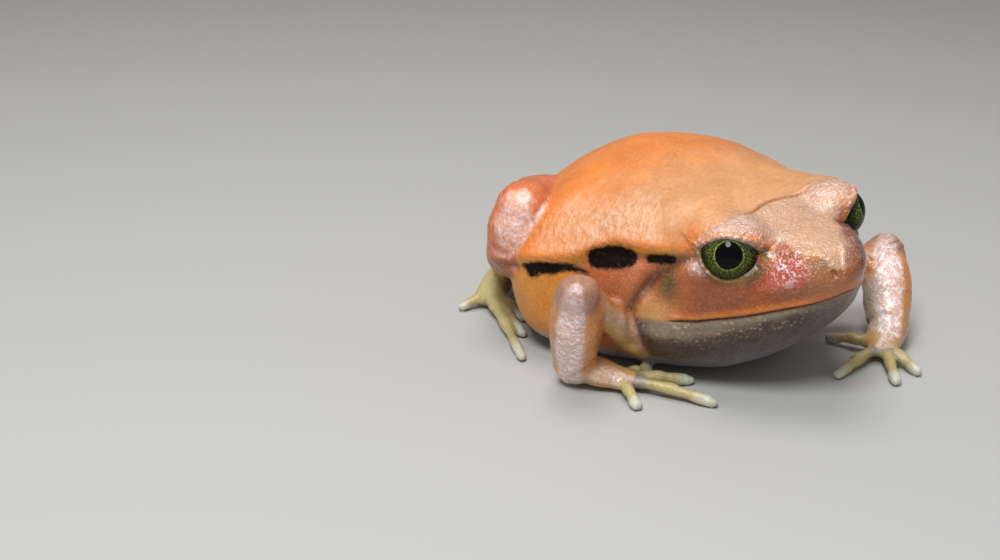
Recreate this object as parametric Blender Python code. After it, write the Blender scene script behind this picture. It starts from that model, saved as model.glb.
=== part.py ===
"""A tomato frog at rest, life size, as separate closed solids.

The frog faces -Y, its right side is at -X, and the floor it sits on is z = 0.
Every size below is in millimetres, and the mesh builder turns it into metres.
"""

import math

import bmesh
import bpy
import numpy as np

MM = 0.001
GAP = 0.3

# The trunk and head are one loft from the snout to the vent.
SNOUT_Y = -41.6
VENT_Y = 41.0
# Each row: y, half width, top, height of the widest line, bottom, power of the crown, power of the belly.
STATIONS = (
    (-41.6, 0.0, 25.4, 25.4, 25.4, 2.2, 2.0),
    (-40.9, 2.8, 27.8, 24.4, 21.8, 2.3, 2.0),
    (-38.8, 6.1, 30.0, 22.8, 18.4, 2.5, 2.0),
    (-35.0, 10.0, 31.4, 21.0, 14.4, 2.7, 2.0),
    (-29.0, 14.9, 32.4, 18.4, 9.0, 2.9, 2.1),
    (-22.5, 18.4, 34.2, 15.4, 4.0, 3.3, 2.3),
    (-16.0, 20.8, 35.5, 13.6, 1.2, 3.4, 2.6),
    (-8.0, 25.0, 36.7, 15.4, -0.3, 2.7, 3.0),
    (0.0, 29.8, 38.0, 17.4, -0.6, 2.05, 3.5),
    (8.0, 32.6, 38.6, 18.6, -0.6, 1.8, 3.8),
    (15.0, 30.4, 37.2, 18.2, -0.6, 1.62, 3.2),
    (24.0, 24.4, 33.0, 16.8, -0.4, 1.6, 2.6),
    (33.0, 17.6, 25.4, 14.2, 2.0, 1.75, 2.2),
    (38.6, 9.6, 18.4, 12.0, 5.6, 2.0, 2.0),
    (41.0, 0.0, 11.6, 11.6, 11.6, 2.0, 2.0),
)
BODY_ROWS = 54
BODY_SIDES = 60

HEAD_ROLL = math.radians(6.8)
ROLL_START_Y = -12.0
ROLL_FULL_Y = -24.0
ROLL_AXIS_Z = 26.0

# The neck cut leans forward as it rises, from behind the jaw angle to the crease behind the eyes.
NECK_LINE = ((-9.0, -6.0), (-9.0, 6.0), (-10.5, 13.0), (-14.0, 21.0), (-18.6, 28.0), (-20.8, 34.0), (-21.5, 46.0))
# The mouth climbs from its corner to the tip of the snout.
MOUTH_LINE = ((-46.0, 24.9), (-41.4, 23.7), (-36.0, 21.2), (-29.0, 17.6), (-22.0, 14.6), (-16.0, 12.6), (-5.0, 11.6))
LIP_STEP = 0.35

EYE_RADIUS = 5.0
EYE_CENTRE = (12.6, -25.2, 29.1)
# Ellipsoids that the sections swell out to meet, for the brow, the nape, the shoulder and the jaw's angle:
# centre, half sizes, and how much higher the left one sits than the right.
SWELLINGS = (
    ((10.9, -25.0, 30.2), (6.1, 6.8, 4.7), 0.45),
    ((11.0, -17.4, 29.2), (6.0, 6.4, 4.8), 0.3),
    ((19.0, -8.5, 16.0), (6.6, 7.0, 6.5), 0.0),
    ((17.6, -16.4, 13.5), (4.4, 4.6, 4.6), 0.0),
)
SWELL_BLEND = 14.0
# Below the tip of the snout the face draws back, over these heights and lengths.
CHIN_TUCK = 1.3
CHIN_TUCK_Z = (26.5, 22.0)
CHIN_TUCK_Y = (-33.0, -40.0)
GAZE = (0.66, -0.68, 0.32)
LID_THICKNESS = 0.6
LID_OPENING = (4.7, 3.2)
LID_OPENING_DROP = 0.8
NOSTRIL_AT = (2.8, -40.4, 27.2)
NOSTRIL_RADIUS = 0.5

SHOULDER = (19.0, -10.0, 7.6)
RIGHT_ELBOW = (-36.0, -13.6, 20.8)
RIGHT_WRIST = (-31.6, -7.6, 4.2)
RIGHT_PALM = (-25.8, -13.0, 2.2)
RIGHT_FINGERS = ((-17.5, -11.5), (-13.5, -18.5), (-15.9, -27.3), (-28.0, -21.3))
LEFT_ELBOW = (37.2, -17.0, 15.8)
LEFT_WRIST = (30.2, -26.0, 4.0)
LEFT_PALM = (26.2, -28.0, 2.3)
LEFT_FINGERS = ((22.6, -18.2), (11.6, -30.8), (18.8, -38.2), (25.4, -37.4))

HIP = (10.0, 27.0, 17.0)
RIGHT_KNEE = (-27.8, 14.4, 26.2)
RIGHT_SHANK_KNEE = (-28.9, 15.2, 18.8)
LEFT_KNEE = (29.4, 15.6, 21.4)
LEFT_SHANK_KNEE = (29.4, 15.8, 13.6)
HEEL = (15.0, 38.0, 5.8)
MIDFOOT = (24.6, 31.0, 2.6)
TOES = ((21.6, 25.4), (23.4, 20.6), (27.8, 14.2), (34.0, 5.4), (31.0, 31.6))


def smooth(knots, values, at):
    """A curve through the knots whose slope at each is that of the chord between its neighbours."""
    knots = np.asarray(knots, float)
    values = np.asarray(values, float)
    slopes = np.gradient(values, knots, axis=0)
    index = np.clip(np.searchsorted(knots, at) - 1, 0, len(knots) - 2)
    span = knots[index + 1] - knots[index]
    t = (at - knots[index]) / span
    shape = (slice(None),) + (None,) * (values.ndim - 1)
    t = t[shape]
    span = span[shape]
    return (
        values[index] * (2 * t**3 - 3 * t**2 + 1)
        + slopes[index] * span * (t**3 - 2 * t**2 + t)
        + values[index + 1] * (3 * t**2 - 2 * t**3)
        + slopes[index + 1] * span * (t**3 - t**2)
    )


def new_object(name, points, faces, collection):
    mesh = bpy.data.meshes.new(name)
    mesh.from_pydata((np.asarray(points) * MM).tolist(), [], faces)
    mesh.update()
    obj = bpy.data.objects.new(name, mesh)
    collection.objects.link(obj)
    return obj


def loft(name, rings, collection):
    """Closed skin over rings of equal length, with a pole in front of the first ring and past the last."""
    rows, sides = rings.shape[:2]
    points = [rings[0].mean(axis=0), *rings.reshape(-1, 3), rings[-1].mean(axis=0)]
    last = len(points) - 1
    faces = []
    for side in range(sides):
        after = (side + 1) % sides
        faces.append((0, 1 + after, 1 + side))
        faces.append((last, last - sides + side, last - sides + after))
        for row in range(rows - 1):
            first = 1 + row * sides
            faces.append((first + side, first + after, first + sides + after, first + sides + side))
    obj = new_object(name, points, faces, collection)
    face_outwards(obj)
    return obj


def face_outwards(obj):
    shape = bmesh.new()
    shape.from_mesh(obj.data)
    bmesh.ops.recalc_face_normals(shape, faces=shape.faces)
    if shape.calc_volume(signed=True) < 0:
        bmesh.ops.reverse_faces(shape, faces=shape.faces)
    shape.to_mesh(obj.data)
    shape.free()


def body_rings():
    """Superellipse sections on rows that crowd towards both ends, so that snout and vent come out round."""
    table = np.array(STATIONS)
    middle = (SNOUT_Y + VENT_Y) / 2
    reach = (VENT_Y - SNOUT_Y) / 2
    turn = np.arccos(np.clip((middle - table[:, 0]) / reach, -1, 1))
    even = np.linspace(0, 1, BODY_ROWS + 2)[1:-1]
    at = math.pi * (0.62 * even + 0.38 * even**1.8)
    half, top, widest, bottom, crown, belly = smooth(turn, table[:, 1:], at).T
    y = middle - reach * np.cos(at)
    angle = np.linspace(0, 2 * math.pi, BODY_SIDES, endpoint=False)[None, :]
    up = np.cos(angle) >= 0
    power = 2 / np.where(up, crown[:, None], belly[:, None])
    height = np.where(up, (top - widest)[:, None], (widest - bottom)[:, None])
    x = half[:, None] * np.sign(np.sin(angle)) * np.abs(np.sin(angle)) ** power
    z = widest[:, None] + height * np.sign(np.cos(angle)) * np.abs(np.cos(angle)) ** power
    y = np.broadcast_to(y[:, None], x.shape)
    middle_z = widest[:, None]
    reach = np.hypot(x, z - middle_z)
    out = sum(swelling_reach(x, y, z, middle_z, *form) ** SWELL_BLEND for form in SWELLINGS)
    grown_reach = (reach**SWELL_BLEND + out) ** (1 / SWELL_BLEND)
    x, z = x * grown_reach / reach, middle_z + (z - middle_z) * grown_reach / reach
    y = y + CHIN_TUCK * ramp(z, CHIN_TUCK_Z) * ramp(y, CHIN_TUCK_Y)
    return np.stack([x, y, z], axis=2)


def ramp(value, span):
    """0 at the first end of the span, 1 at the other, and the soft S of 3t^2 - 2t^3 between them."""
    t = np.clip((value - span[0]) / (span[1] - span[0]), 0, 1)
    return t * t * (3 - 2 * t)


def swelling_reach(x, y, z, middle_z, centre, size, lean):
    """How far an ellipsoid and its mirror image reach along the line from a section's middle through each point."""
    reach = np.hypot(x, z - middle_z)
    centre_z = centre[2] + lean * np.sign(x)
    across = np.abs(x) / reach
    up = (z - middle_z) / reach
    wide, long, tall = size
    left = 1 - ((y - centre[1]) / long) ** 2
    a = (across / wide) ** 2 + (up / tall) ** 2
    b = across * centre[0] / wide**2 + up * (centre_z - middle_z) / tall**2
    c = (centre[0] / wide) ** 2 + ((centre_z - middle_z) / tall) ** 2 - left
    inside = b * b - a * c
    far_side = (b + np.sqrt(np.maximum(inside, 0))) / a
    return np.where(inside > 0, np.maximum(far_side, 0), 0)


def rolled(points):
    """The head leans a little to the frog's right, more and more from the shoulders to the eyes."""
    points = np.array(points, float)
    share = np.clip((ROLL_START_Y - points[..., 1]) / (ROLL_START_Y - ROLL_FULL_Y), 0, 1)
    angle = HEAD_ROLL * share * share * (3 - 2 * share)
    x = points[..., 0]
    z = points[..., 2] - ROLL_AXIS_Z
    points[..., 0] = x * np.cos(angle) - z * np.sin(angle)
    points[..., 2] = ROLL_AXIS_Z + x * np.sin(angle) + z * np.cos(angle)
    return points


def limb(name, knots, radii, flatness, sides, collection, count=9):
    """A round-ended tube along a smooth path. flatness is the share of each radius that its height keeps."""
    knots = np.array(knots, float)
    stations = np.linspace(0, 1, len(knots))
    t = np.linspace(0, 1, count)
    path = smooth(stations, knots, t)
    radius = smooth(stations, np.array(radii, float), t)
    ahead = np.gradient(path, axis=0)
    ahead /= np.linalg.norm(ahead, axis=1)[:, None]
    cap = np.radians((25.0, 50.0, 75.0))
    first = path[0] - ahead[0] * radius[0] * np.sin(cap[::-1])[:, None]
    last = path[-1] + ahead[-1] * radius[-1] * np.sin(cap)[:, None]
    path = np.concatenate([first, path, last])
    radius = np.concatenate([radius[0] * np.cos(cap[::-1]), radius, radius[-1] * np.cos(cap)])
    ahead = np.concatenate([ahead[:1].repeat(3, axis=0), ahead, ahead[-1:].repeat(3, axis=0)])
    across = np.cross(ahead, (0.0, 0.0, 1.0)) + np.array((1e-6, 0.0, 0.0))
    across /= np.linalg.norm(across, axis=1)[:, None]
    over = np.cross(across, ahead)
    angle = np.linspace(0, 2 * math.pi, sides, endpoint=False)
    rings = (
        path[:, None]
        + radius[:, None, None] * np.cos(angle)[None, :, None] * across[:, None]
        + flatness * radius[:, None, None] * np.sin(angle)[None, :, None] * over[:, None]
    )
    return loft(name, rings, collection)


def ball(name, centre, radius, collection, segments=22, rings=13, scale=(1.0, 1.0, 1.0)):
    shape = bmesh.new()
    bmesh.ops.create_uvsphere(shape, u_segments=segments, v_segments=rings, radius=radius * MM)
    mesh = bpy.data.meshes.new(name)
    shape.to_mesh(mesh)
    shape.free()
    obj = bpy.data.objects.new(name, mesh)
    collection.objects.link(obj)
    points = np.empty(len(mesh.vertices) * 3, np.float32)
    mesh.vertices.foreach_get("co", points)
    points = points.reshape(-1, 3) * np.array(scale) + np.array(centre) * MM
    mesh.vertices.foreach_set("co", points.astype(np.float32).ravel())
    mesh.update()
    return obj


def prism(name, outline, low_x, high_x, collection):
    """A closed outline in the YZ plane, run from low_x to high_x."""
    count = len(outline)
    points = [(x, y, z) for x in (low_x, high_x) for y, z in outline]
    faces = [tuple(range(count)), tuple(range(2 * count - 1, count - 1, -1))]
    for corner in range(count):
        after = (corner + 1) % count
        faces.append((corner, corner + count, after + count, after))
    obj = new_object(name, points, faces, collection)
    face_outwards(obj)
    return obj


def apply_modifiers(obj):
    graph = bpy.context.evaluated_depsgraph_get()
    mesh = bpy.data.meshes.new_from_object(obj.evaluated_get(graph))
    obj.modifiers.clear()
    old = obj.data
    obj.data = mesh
    bpy.data.meshes.remove(old)
    mesh.name = obj.name


def remove(obj):
    mesh = obj.data
    bpy.data.objects.remove(obj)
    bpy.data.meshes.remove(mesh)


def combine(obj, other, operation):
    """One Boolean with a throwaway object, applied."""
    modifier = obj.modifiers.new(operation.title(), "BOOLEAN")
    modifier.operation = operation
    modifier.solver = "MANIFOLD"
    modifier.object = other
    apply_modifiers(obj)
    remove(other)


def join(obj, pieces):
    """One Boolean union of the object with a collection of closed meshes, applied."""
    others = bpy.data.collections.new(obj.name + "_pieces")
    bpy.context.scene.collection.children.link(others)
    for piece in pieces:
        for owner in piece.users_collection:
            owner.objects.unlink(piece)
        others.objects.link(piece)
    modifier = obj.modifiers.new("Union", "BOOLEAN")
    modifier.operation = "UNION"
    modifier.operand_type = "COLLECTION"
    modifier.solver = "MANIFOLD"
    modifier.collection = others
    apply_modifiers(obj)
    for piece in pieces:
        remove(piece)
    bpy.data.collections.remove(others)
    return obj


def copy_of(obj, name, collection):
    twin = obj.copy()
    twin.data = obj.data.copy()
    twin.name = name
    collection.objects.link(twin)
    return twin


def grown(obj, by, collection):
    """A copy whose surface stands out by the given distance along its own normals."""
    twin = copy_of(obj, obj.name + "_grown", collection)
    mesh = twin.data
    points = np.empty(len(mesh.vertices) * 3, np.float32)
    normals = np.empty(len(mesh.vertices) * 3, np.float32)
    mesh.vertices.foreach_get("co", points)
    mesh.vertices.foreach_get("normal", normals)
    mesh.vertices.foreach_set("co", points + normals * by * MM)
    mesh.update()
    return twin


def keep_largest(obj):
    """Leaves only the largest closed surface of the mesh."""
    shape = bmesh.new()
    shape.from_mesh(obj.data)
    bmesh.ops.remove_doubles(shape, verts=shape.verts, dist=1e-7)
    left = set(shape.verts)
    groups = []
    while left:
        edge = [left.pop()]
        group = list(edge)
        while edge:
            near = {e.other_vert(v) for v in edge for e in v.link_edges} & left
            left -= near
            group.extend(near)
            edge = list(near)
        groups.append(group)
    groups.sort(key=len)
    for group in groups[:-1]:
        bmesh.ops.delete(shape, geom=group, context="VERTS")
    shape.to_mesh(obj.data)
    shape.free()
    obj.data.update()


def band(line, away, name, low_x, high_x, collection):
    """A slab one gap thick along a line in the YZ plane, closed by the side that 'away' gives."""
    line = np.array(line, float)
    knots = np.linspace(0, 1, len(line))
    points = smooth(knots, line, np.linspace(0, 1, 4 * len(line)))
    outline = [tuple(p) for p in points] + [tuple(p) for p in away]
    return prism(name, outline, low_x, high_x, collection)


def shifted(line, dy, dz):
    return [(y + dy, z + dz) for y, z in line]


def material(name, colour, roughness):
    mat = bpy.data.materials.new(name)
    mat.use_nodes = True
    shader = mat.node_tree.nodes["Principled BSDF"]
    shader.inputs["Base Color"].default_value = (*colour, 1.0)
    shader.inputs["Roughness"].default_value = roughness
    shader.inputs["Metallic"].default_value = 0.0
    return mat


def make_trunk_and_head(frog, cutters):
    """The loft with its lids, parted by the neck and the mouth into torso, head and lower jaw."""
    far = 60.0
    whole = loft("torso", rolled(body_rings()), frog)
    jaw = grown(whole, -LIP_STEP, frog)
    jaw.name = "lower_jaw"
    jaw.data.name = "lower_jaw"
    lids = []
    for side in (-1, 1):
        mirror = np.array((side, 1, 1))
        lid_radius = EYE_RADIUS + GAP + LID_THICKNESS
        lids.append(ball("lid", rolled(np.array(EYE_CENTRE) * mirror), lid_radius, cutters))
    join(whole, lids)
    head = copy_of(whole, "head", frog)

    front = [(-far, 46.0), (-far, -6.0)]
    back = [(far, 46.0), (far, -6.0)]
    half = GAP / 2
    combine(whole, band(shifted(NECK_LINE, half, 0), front, "front", -far, far, cutters), "DIFFERENCE")
    combine(head, band(shifted(NECK_LINE, -half, 0), back, "back", -far, far, cutters), "DIFFERENCE")
    combine(jaw, band(shifted(NECK_LINE, -half, 0), back, "back", -far, far, cutters), "DIFFERENCE")
    below = [(-5.0, -20.0), (-46.0, -20.0)]
    above = [(-5.0, 60.0), (-46.0, 60.0)]
    combine(head, band(shifted(MOUTH_LINE, 0, half), below, "below", -far, far, cutters), "DIFFERENCE")
    combine(jaw, band(shifted(MOUTH_LINE, 0, -half), above, "above", -far, far, cutters), "DIFFERENCE")
    return whole, head, jaw


def make_eyes(head, frog, cutters):
    """Each eyeball sits in a socket. What is left of the lid round it is a thin cup with an oval opening."""
    gaze = np.array(GAZE) / np.linalg.norm(GAZE)
    eyes = []
    for side, word in ((-1, "right"), (1, "left")):
        mirror = np.array((side, 1, 1))
        centre = rolled(np.array(EYE_CENTRE) * mirror)
        look = gaze * mirror
        socket = ball("socket", centre, EYE_RADIUS + GAP, cutters, 26, 15)
        combine(head, socket, "DIFFERENCE")
        combine(head, lid_opening(centre, look, cutters), "DIFFERENCE")
        eyes.append(ball(word + "_eye", centre, EYE_RADIUS, frog))
        pit = ball("nostril", rolled(np.array(NOSTRIL_AT) * mirror), NOSTRIL_RADIUS, cutters, 8, 6)
        combine(head, pit, "DIFFERENCE")
    return eyes


def lid_opening(centre, look, cutters):
    """An oval bar from the middle of the eye outwards along the gaze."""
    across = np.cross(look, (0.0, 0.0, 1.0))
    across /= np.linalg.norm(across)
    over = np.cross(across, look)
    angle = np.linspace(0, 2 * math.pi, 20, endpoint=False)
    wide, tall = LID_OPENING
    oval = wide * np.cos(angle)[:, None] * across + tall * np.sin(angle)[:, None] * over
    oval -= LID_OPENING_DROP * over
    rings = np.stack([centre + oval + look * reach for reach in (0.8, 5.0, 14.0)])
    return loft("opening", rings, cutters)


def make_arm(word, shoulder, elbow, wrist, palm, tips, frog, cutters):
    shoulder, elbow, wrist, palm = (np.array(p, float) for p in (shoulder, elbow, wrist, palm))
    sag = np.array((0.0, 0.0, -0.1))
    upper = limb(word + "_upper_arm", (shoulder, (shoulder + elbow) / 2 + sag, elbow), (3.6, 2.6, 3.4), 1.0, 12, frog)
    middle = (elbow + wrist) / 2
    fore = limb(word + "_forearm", (elbow, middle, wrist), (3.4, 4.5, 3.7), 1.0, 12, frog)
    hand = limb(word + "_hand", (wrist, (wrist + palm) / 2, palm), (3.4, 3.5, 3.1), 0.7, 10, frog, 5)
    fingers = []
    for number, (x, y) in enumerate(tips):
        tip = np.array((x, y, 0.85))
        bend = palm * 0.45 + tip * 0.55 + np.array((0.0, 0.0, 0.5))
        name = word + "_finger_" + str(number)
        fingers.append(limb(name, (palm, bend, tip), (1.5, 1.15, 0.95), 1.0, 8, cutters, 5))
    join(hand, fingers)
    return upper, fore, hand


def make_leg(word, side, knee, under_knee, frog, cutters):
    hip, heel, midfoot = (np.array(p) * (side, 1, 1) for p in (HIP, HEEL, MIDFOOT))
    knee, under_knee = np.array(knee), np.array(under_knee)
    lift = np.array((0.0, 0.0, 1.0))
    thigh = limb(word + "_thigh", (hip, (hip + knee) / 2 + lift, knee), (7.6, 7.2, 5.8), 1.0, 14, frog)
    calf = (under_knee + heel) / 2 + np.array((side * 0.4, -0.6, 0.8))
    shank = limb(word + "_shank", (under_knee, calf, heel), (5.6, 5.4, 3.2), 1.0, 14, frog)
    foot = limb(word + "_foot", (heel, (heel + midfoot) / 2, midfoot), (3.0, 3.2, 3.2), 0.75, 10, frog, 5)
    toes = []
    for number, (x, y) in enumerate(TOES):
        tip = np.array((x * side, y, 0.85))
        bend = midfoot * 0.5 + tip * 0.5 + np.array((0.0, 0.0, 0.2))
        name = word + "_toe_" + str(number)
        toes.append(limb(name, (midfoot, bend, tip), (1.7, 1.2, 0.9), 1.0, 8, cutters, 6))
    join(foot, toes)
    return thigh, shank, foot


def part_from(obj, neighbours, cutters):
    """Cuts the object clear of its neighbours, so that they meet face to face one gap apart."""
    for neighbour in neighbours:
        combine(obj, grown(neighbour, GAP, cutters), "DIFFERENCE")
    keep_largest(obj)


def centre_on_origin(frog):
    """Moves every mesh sideways by one amount, so that the origin is under the middle of the whole frog's box."""
    clouds = []
    for obj in frog.objects:
        points = np.empty(len(obj.data.vertices) * 3, np.float32)
        obj.data.vertices.foreach_get("co", points)
        clouds.append(points.reshape(-1, 3))
    everything = np.concatenate(clouds)
    middle = (everything.min(axis=0) + everything.max(axis=0)) / 2
    middle[2] = 0.0
    for obj, points in zip(frog.objects, clouds):
        obj.data.vertices.foreach_set("co", (points - middle).ravel())
        obj.data.update()
    print("origin moved by", -middle / MM, "mm")


def main():
    for obj in list(bpy.data.objects):
        bpy.data.objects.remove(obj)
    frog = bpy.data.collections.new("tomato_frog")
    cutters = bpy.data.collections.new("cutters")
    for collection in (frog, cutters):
        bpy.context.scene.collection.children.link(collection)

    torso, head, jaw = make_trunk_and_head(frog, cutters)
    eyes = make_eyes(head, frog, cutters)
    keep_largest(torso)
    keep_largest(head)
    keep_largest(jaw)

    shoulder = np.array(SHOULDER)
    right_arm = make_arm(
        "right", shoulder * (-1, 1, 1), RIGHT_ELBOW, RIGHT_WRIST, RIGHT_PALM, RIGHT_FINGERS, frog, cutters
    )
    left_arm = make_arm("left", shoulder, LEFT_ELBOW, LEFT_WRIST, LEFT_PALM, LEFT_FINGERS, frog, cutters)
    for upper, fore, hand in (right_arm, left_arm):
        part_from(upper, (torso, head, jaw), cutters)
        part_from(fore, (torso, upper), cutters)
        part_from(hand, (torso, fore, jaw), cutters)
    legs = []
    knees = ((-1, "right", RIGHT_KNEE, RIGHT_SHANK_KNEE), (1, "left", LEFT_KNEE, LEFT_SHANK_KNEE))
    for side, word, knee, under_knee in knees:
        thigh, shank, foot = make_leg(word, side, knee, under_knee, frog, cutters)
        part_from(thigh, (torso,), cutters)
        part_from(shank, (torso, thigh), cutters)
        part_from(foot, (torso, thigh, shank), cutters)
        legs.append((thigh, shank, foot))

    for obj in list(frog.objects):
        floor = prism("floor", ((-90, -30), (90, -30), (90, 0), (-90, 0)), -90, 90, cutters)
        combine(obj, floor, "DIFFERENCE")
        keep_largest(obj)

    orange = material("orange_skin", (0.78, 0.25, 0.06), 0.35)
    tan = material("tan_skin", (0.72, 0.42, 0.26), 0.35)
    glossy = material("eye", (0.08, 0.09, 0.02), 0.05)
    for obj in frog.objects:
        kind = orange
        if obj in eyes:
            kind = glossy
        elif "arm" in obj.name or "hand" in obj.name or "foot" in obj.name:
            kind = tan
        obj.data.materials.clear()
        obj.data.materials.append(kind)
        obj.data.shade_smooth()
        obj.data.set_sharp_from_angle(angle=math.radians(40))
    centre_on_origin(frog)
    bpy.data.collections.remove(cutters)


main()
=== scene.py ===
# %% [markdown]
# A tomato frog at rest, life size, as a museum model shows it. The solids of the frog are loaded as a
# fixed frame, and this script dresses them: one closed skin over all the flesh, two wet eyes, and the
# markings and the gloss of damp skin. Every size is in millimetres until a mesh is made.

import math
from functools import reduce

import bmesh
import bpy
import numpy as np
from mathutils import Matrix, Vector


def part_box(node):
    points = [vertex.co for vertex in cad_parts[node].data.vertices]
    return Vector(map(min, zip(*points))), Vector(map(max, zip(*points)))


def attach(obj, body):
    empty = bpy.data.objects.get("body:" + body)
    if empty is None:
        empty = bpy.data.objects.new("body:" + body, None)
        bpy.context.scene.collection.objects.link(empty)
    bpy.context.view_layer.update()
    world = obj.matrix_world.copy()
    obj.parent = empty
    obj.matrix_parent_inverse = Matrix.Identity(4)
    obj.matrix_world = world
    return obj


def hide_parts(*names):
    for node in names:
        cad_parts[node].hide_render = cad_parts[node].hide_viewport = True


MM = 0.001
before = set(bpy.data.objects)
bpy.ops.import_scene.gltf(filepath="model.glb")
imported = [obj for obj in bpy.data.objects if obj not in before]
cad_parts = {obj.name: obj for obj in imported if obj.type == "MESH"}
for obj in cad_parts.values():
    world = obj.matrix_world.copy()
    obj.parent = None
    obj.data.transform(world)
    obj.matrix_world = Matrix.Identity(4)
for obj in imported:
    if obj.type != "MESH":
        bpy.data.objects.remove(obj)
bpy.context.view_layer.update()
print("solids in the frame:", len(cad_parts))

# %% [markdown]
# The skin has to follow the solids, so it is drawn from the same driving sizes as they are: sections of
# the trunk, the tilt of the head, and a path with a radius for each limb. The frog faces -Y, its right
# side is at -X, and it sits on z = 0.

# %% Sizes of the trunk and head
SNOUT_Y = -41.6
VENT_Y = 41.0
# Each row: y, half width, top, height of the widest line, bottom, power of the crown, power of the belly.
STATIONS = (
    (-41.6, 0.0, 25.4, 25.4, 25.4, 2.2, 2.0),
    (-40.9, 2.8, 27.8, 24.4, 21.8, 2.3, 2.0),
    (-38.8, 6.1, 30.0, 22.8, 18.4, 2.5, 2.0),
    (-35.0, 10.0, 31.4, 21.0, 14.4, 2.7, 2.0),
    (-29.0, 14.9, 32.4, 18.4, 9.0, 2.9, 2.1),
    (-22.5, 18.4, 34.2, 15.4, 4.0, 3.3, 2.3),
    (-16.0, 20.8, 35.5, 13.6, 1.2, 3.4, 2.6),
    (-8.0, 25.0, 36.7, 15.4, -0.3, 2.7, 3.0),
    (0.0, 29.8, 38.0, 17.4, -0.6, 2.05, 3.5),
    (8.0, 32.6, 38.6, 18.6, -0.6, 1.8, 3.8),
    (15.0, 30.4, 37.2, 18.2, -0.6, 1.62, 3.2),
    (24.0, 24.4, 33.0, 16.8, -0.4, 1.6, 2.6),
    (33.0, 17.6, 25.4, 14.2, 2.0, 1.75, 2.2),
    (38.6, 9.6, 18.4, 12.0, 5.6, 2.0, 2.0),
    (41.0, 0.0, 11.6, 11.6, 11.6, 2.0, 2.0),
)
# Ellipsoids that the sections swell out to meet, for the brow, the nape, the shoulder and the jaw's angle:
# centre, half sizes, and how much higher the left one sits than the right.
SWELLINGS = (
    ((10.9, -25.0, 30.2), (6.1, 6.8, 4.7), 0.45),
    ((11.0, -17.4, 29.2), (6.0, 6.4, 4.8), 0.3),
    ((19.0, -8.5, 16.0), (6.6, 7.0, 6.5), 0.0),
    ((17.6, -16.4, 13.5), (4.4, 4.6, 4.6), 0.0),
)
SWELL_BLEND = 14.0
HEAD_ROLL = math.radians(6.8)
ROLL_START_Y = -12.0
ROLL_FULL_Y = -24.0
ROLL_AXIS_Z = 26.0
EYE_RADIUS = 5.0
EYE_CENTRE = np.array((12.6, -25.2, 29.1))
CHIN_TUCK = 1.3
BODY_ROWS = 150
BODY_SIDES = 150


def smooth(knots, values, at):
    """A curve through the knots whose slope at each is that of the chord between its neighbours."""
    knots = np.asarray(knots, float)
    values = np.asarray(values, float)
    at = np.clip(at, knots[0], knots[-1])
    slopes = np.gradient(values, knots, axis=0)
    index = np.clip(np.searchsorted(knots, at) - 1, 0, len(knots) - 2)
    span = knots[index + 1] - knots[index]
    t = (at - knots[index]) / span
    shape = (slice(None),) * np.ndim(at) + (None,) * (values.ndim - 1)
    t = t[shape]
    span = span[shape]
    return (
        values[index] * (2 * t**3 - 3 * t**2 + 1)
        + slopes[index] * span * (t**3 - 2 * t**2 + t)
        + values[index + 1] * (3 * t**2 - 2 * t**3)
        + slopes[index + 1] * span * (t**3 - t**2)
    )


def curve(knots, count=40):
    """Points evenly spread, knot for knot, along a smooth curve through the knots."""
    return smooth(np.linspace(0, 1, len(knots)), knots, np.linspace(0, 1, count))


def step(value, low, high):
    """0 below low, 1 above high, and the soft S of 3t^2 - 2t^3 between them. low may be the larger."""
    t = np.clip((value - low) / (high - low), 0, 1)
    return t * t * (3 - 2 * t)


def bell(value, centre, width):
    """exp(-((value - centre) / width)^2), a soft ridge one width to each side."""
    return np.exp(-(((value - centre) / width) ** 2))


def away(points, centre, sizes=1.0):
    """Distance of each point from a centre, in shares of the sizes where these are given."""
    return np.linalg.norm((points - centre) / sizes, axis=1)


def unit(vectors):
    """One vector, or each row of many, scaled to a length of 1."""
    if vectors.ndim == 1:
        return vectors / np.linalg.norm(vectors)
    return vectors / np.linalg.norm(vectors, axis=1)[:, None]


GAZE = unit(np.array((0.66, -0.68, 0.32)))


def turned(points, share_of_roll):
    """Rotation about the long axis at ROLL_AXIS_Z, from 0 at the shoulders to the full roll at the eyes."""
    points = np.array(points, float)
    share = np.clip((ROLL_START_Y - points[..., 1]) / (ROLL_START_Y - ROLL_FULL_Y), 0, 1)
    angle = share_of_roll * HEAD_ROLL * share * share * (3 - 2 * share)
    x = points[..., 0].copy()
    z = points[..., 2] - ROLL_AXIS_Z
    points[..., 0] = x * np.cos(angle) - z * np.sin(angle)
    points[..., 2] = ROLL_AXIS_Z + x * np.sin(angle) + z * np.cos(angle)
    return points


def rolled(points):
    return turned(points, 1.0)


def straightened(points):
    """The same places with the head held level, where left and right mirror each other."""
    return turned(points, -1.0)


eye_low, eye_high = (np.array(corner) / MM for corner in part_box("right_eye"))
SHIFT = (eye_low + eye_high) / 2 - rolled(EYE_CENTRE * (-1, 1, 1))
SHIFT[2] = 0.0
print("drawing sizes sit", SHIFT.round(2), "mm from the frame's origin")

# %% [markdown]
# A frog has almost no neck, so trunk and head are one surface with two parameters: how far along the
# body, and how far round. Each section is a superellipse, |x/a|^n + |z/b|^n = 1, with one power above
# the widest line and another below it. Brow, nape, shoulder and jaw angle are ellipsoids that the
# section swells out to, with a soft maximum so that no edge shows where they begin.

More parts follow.
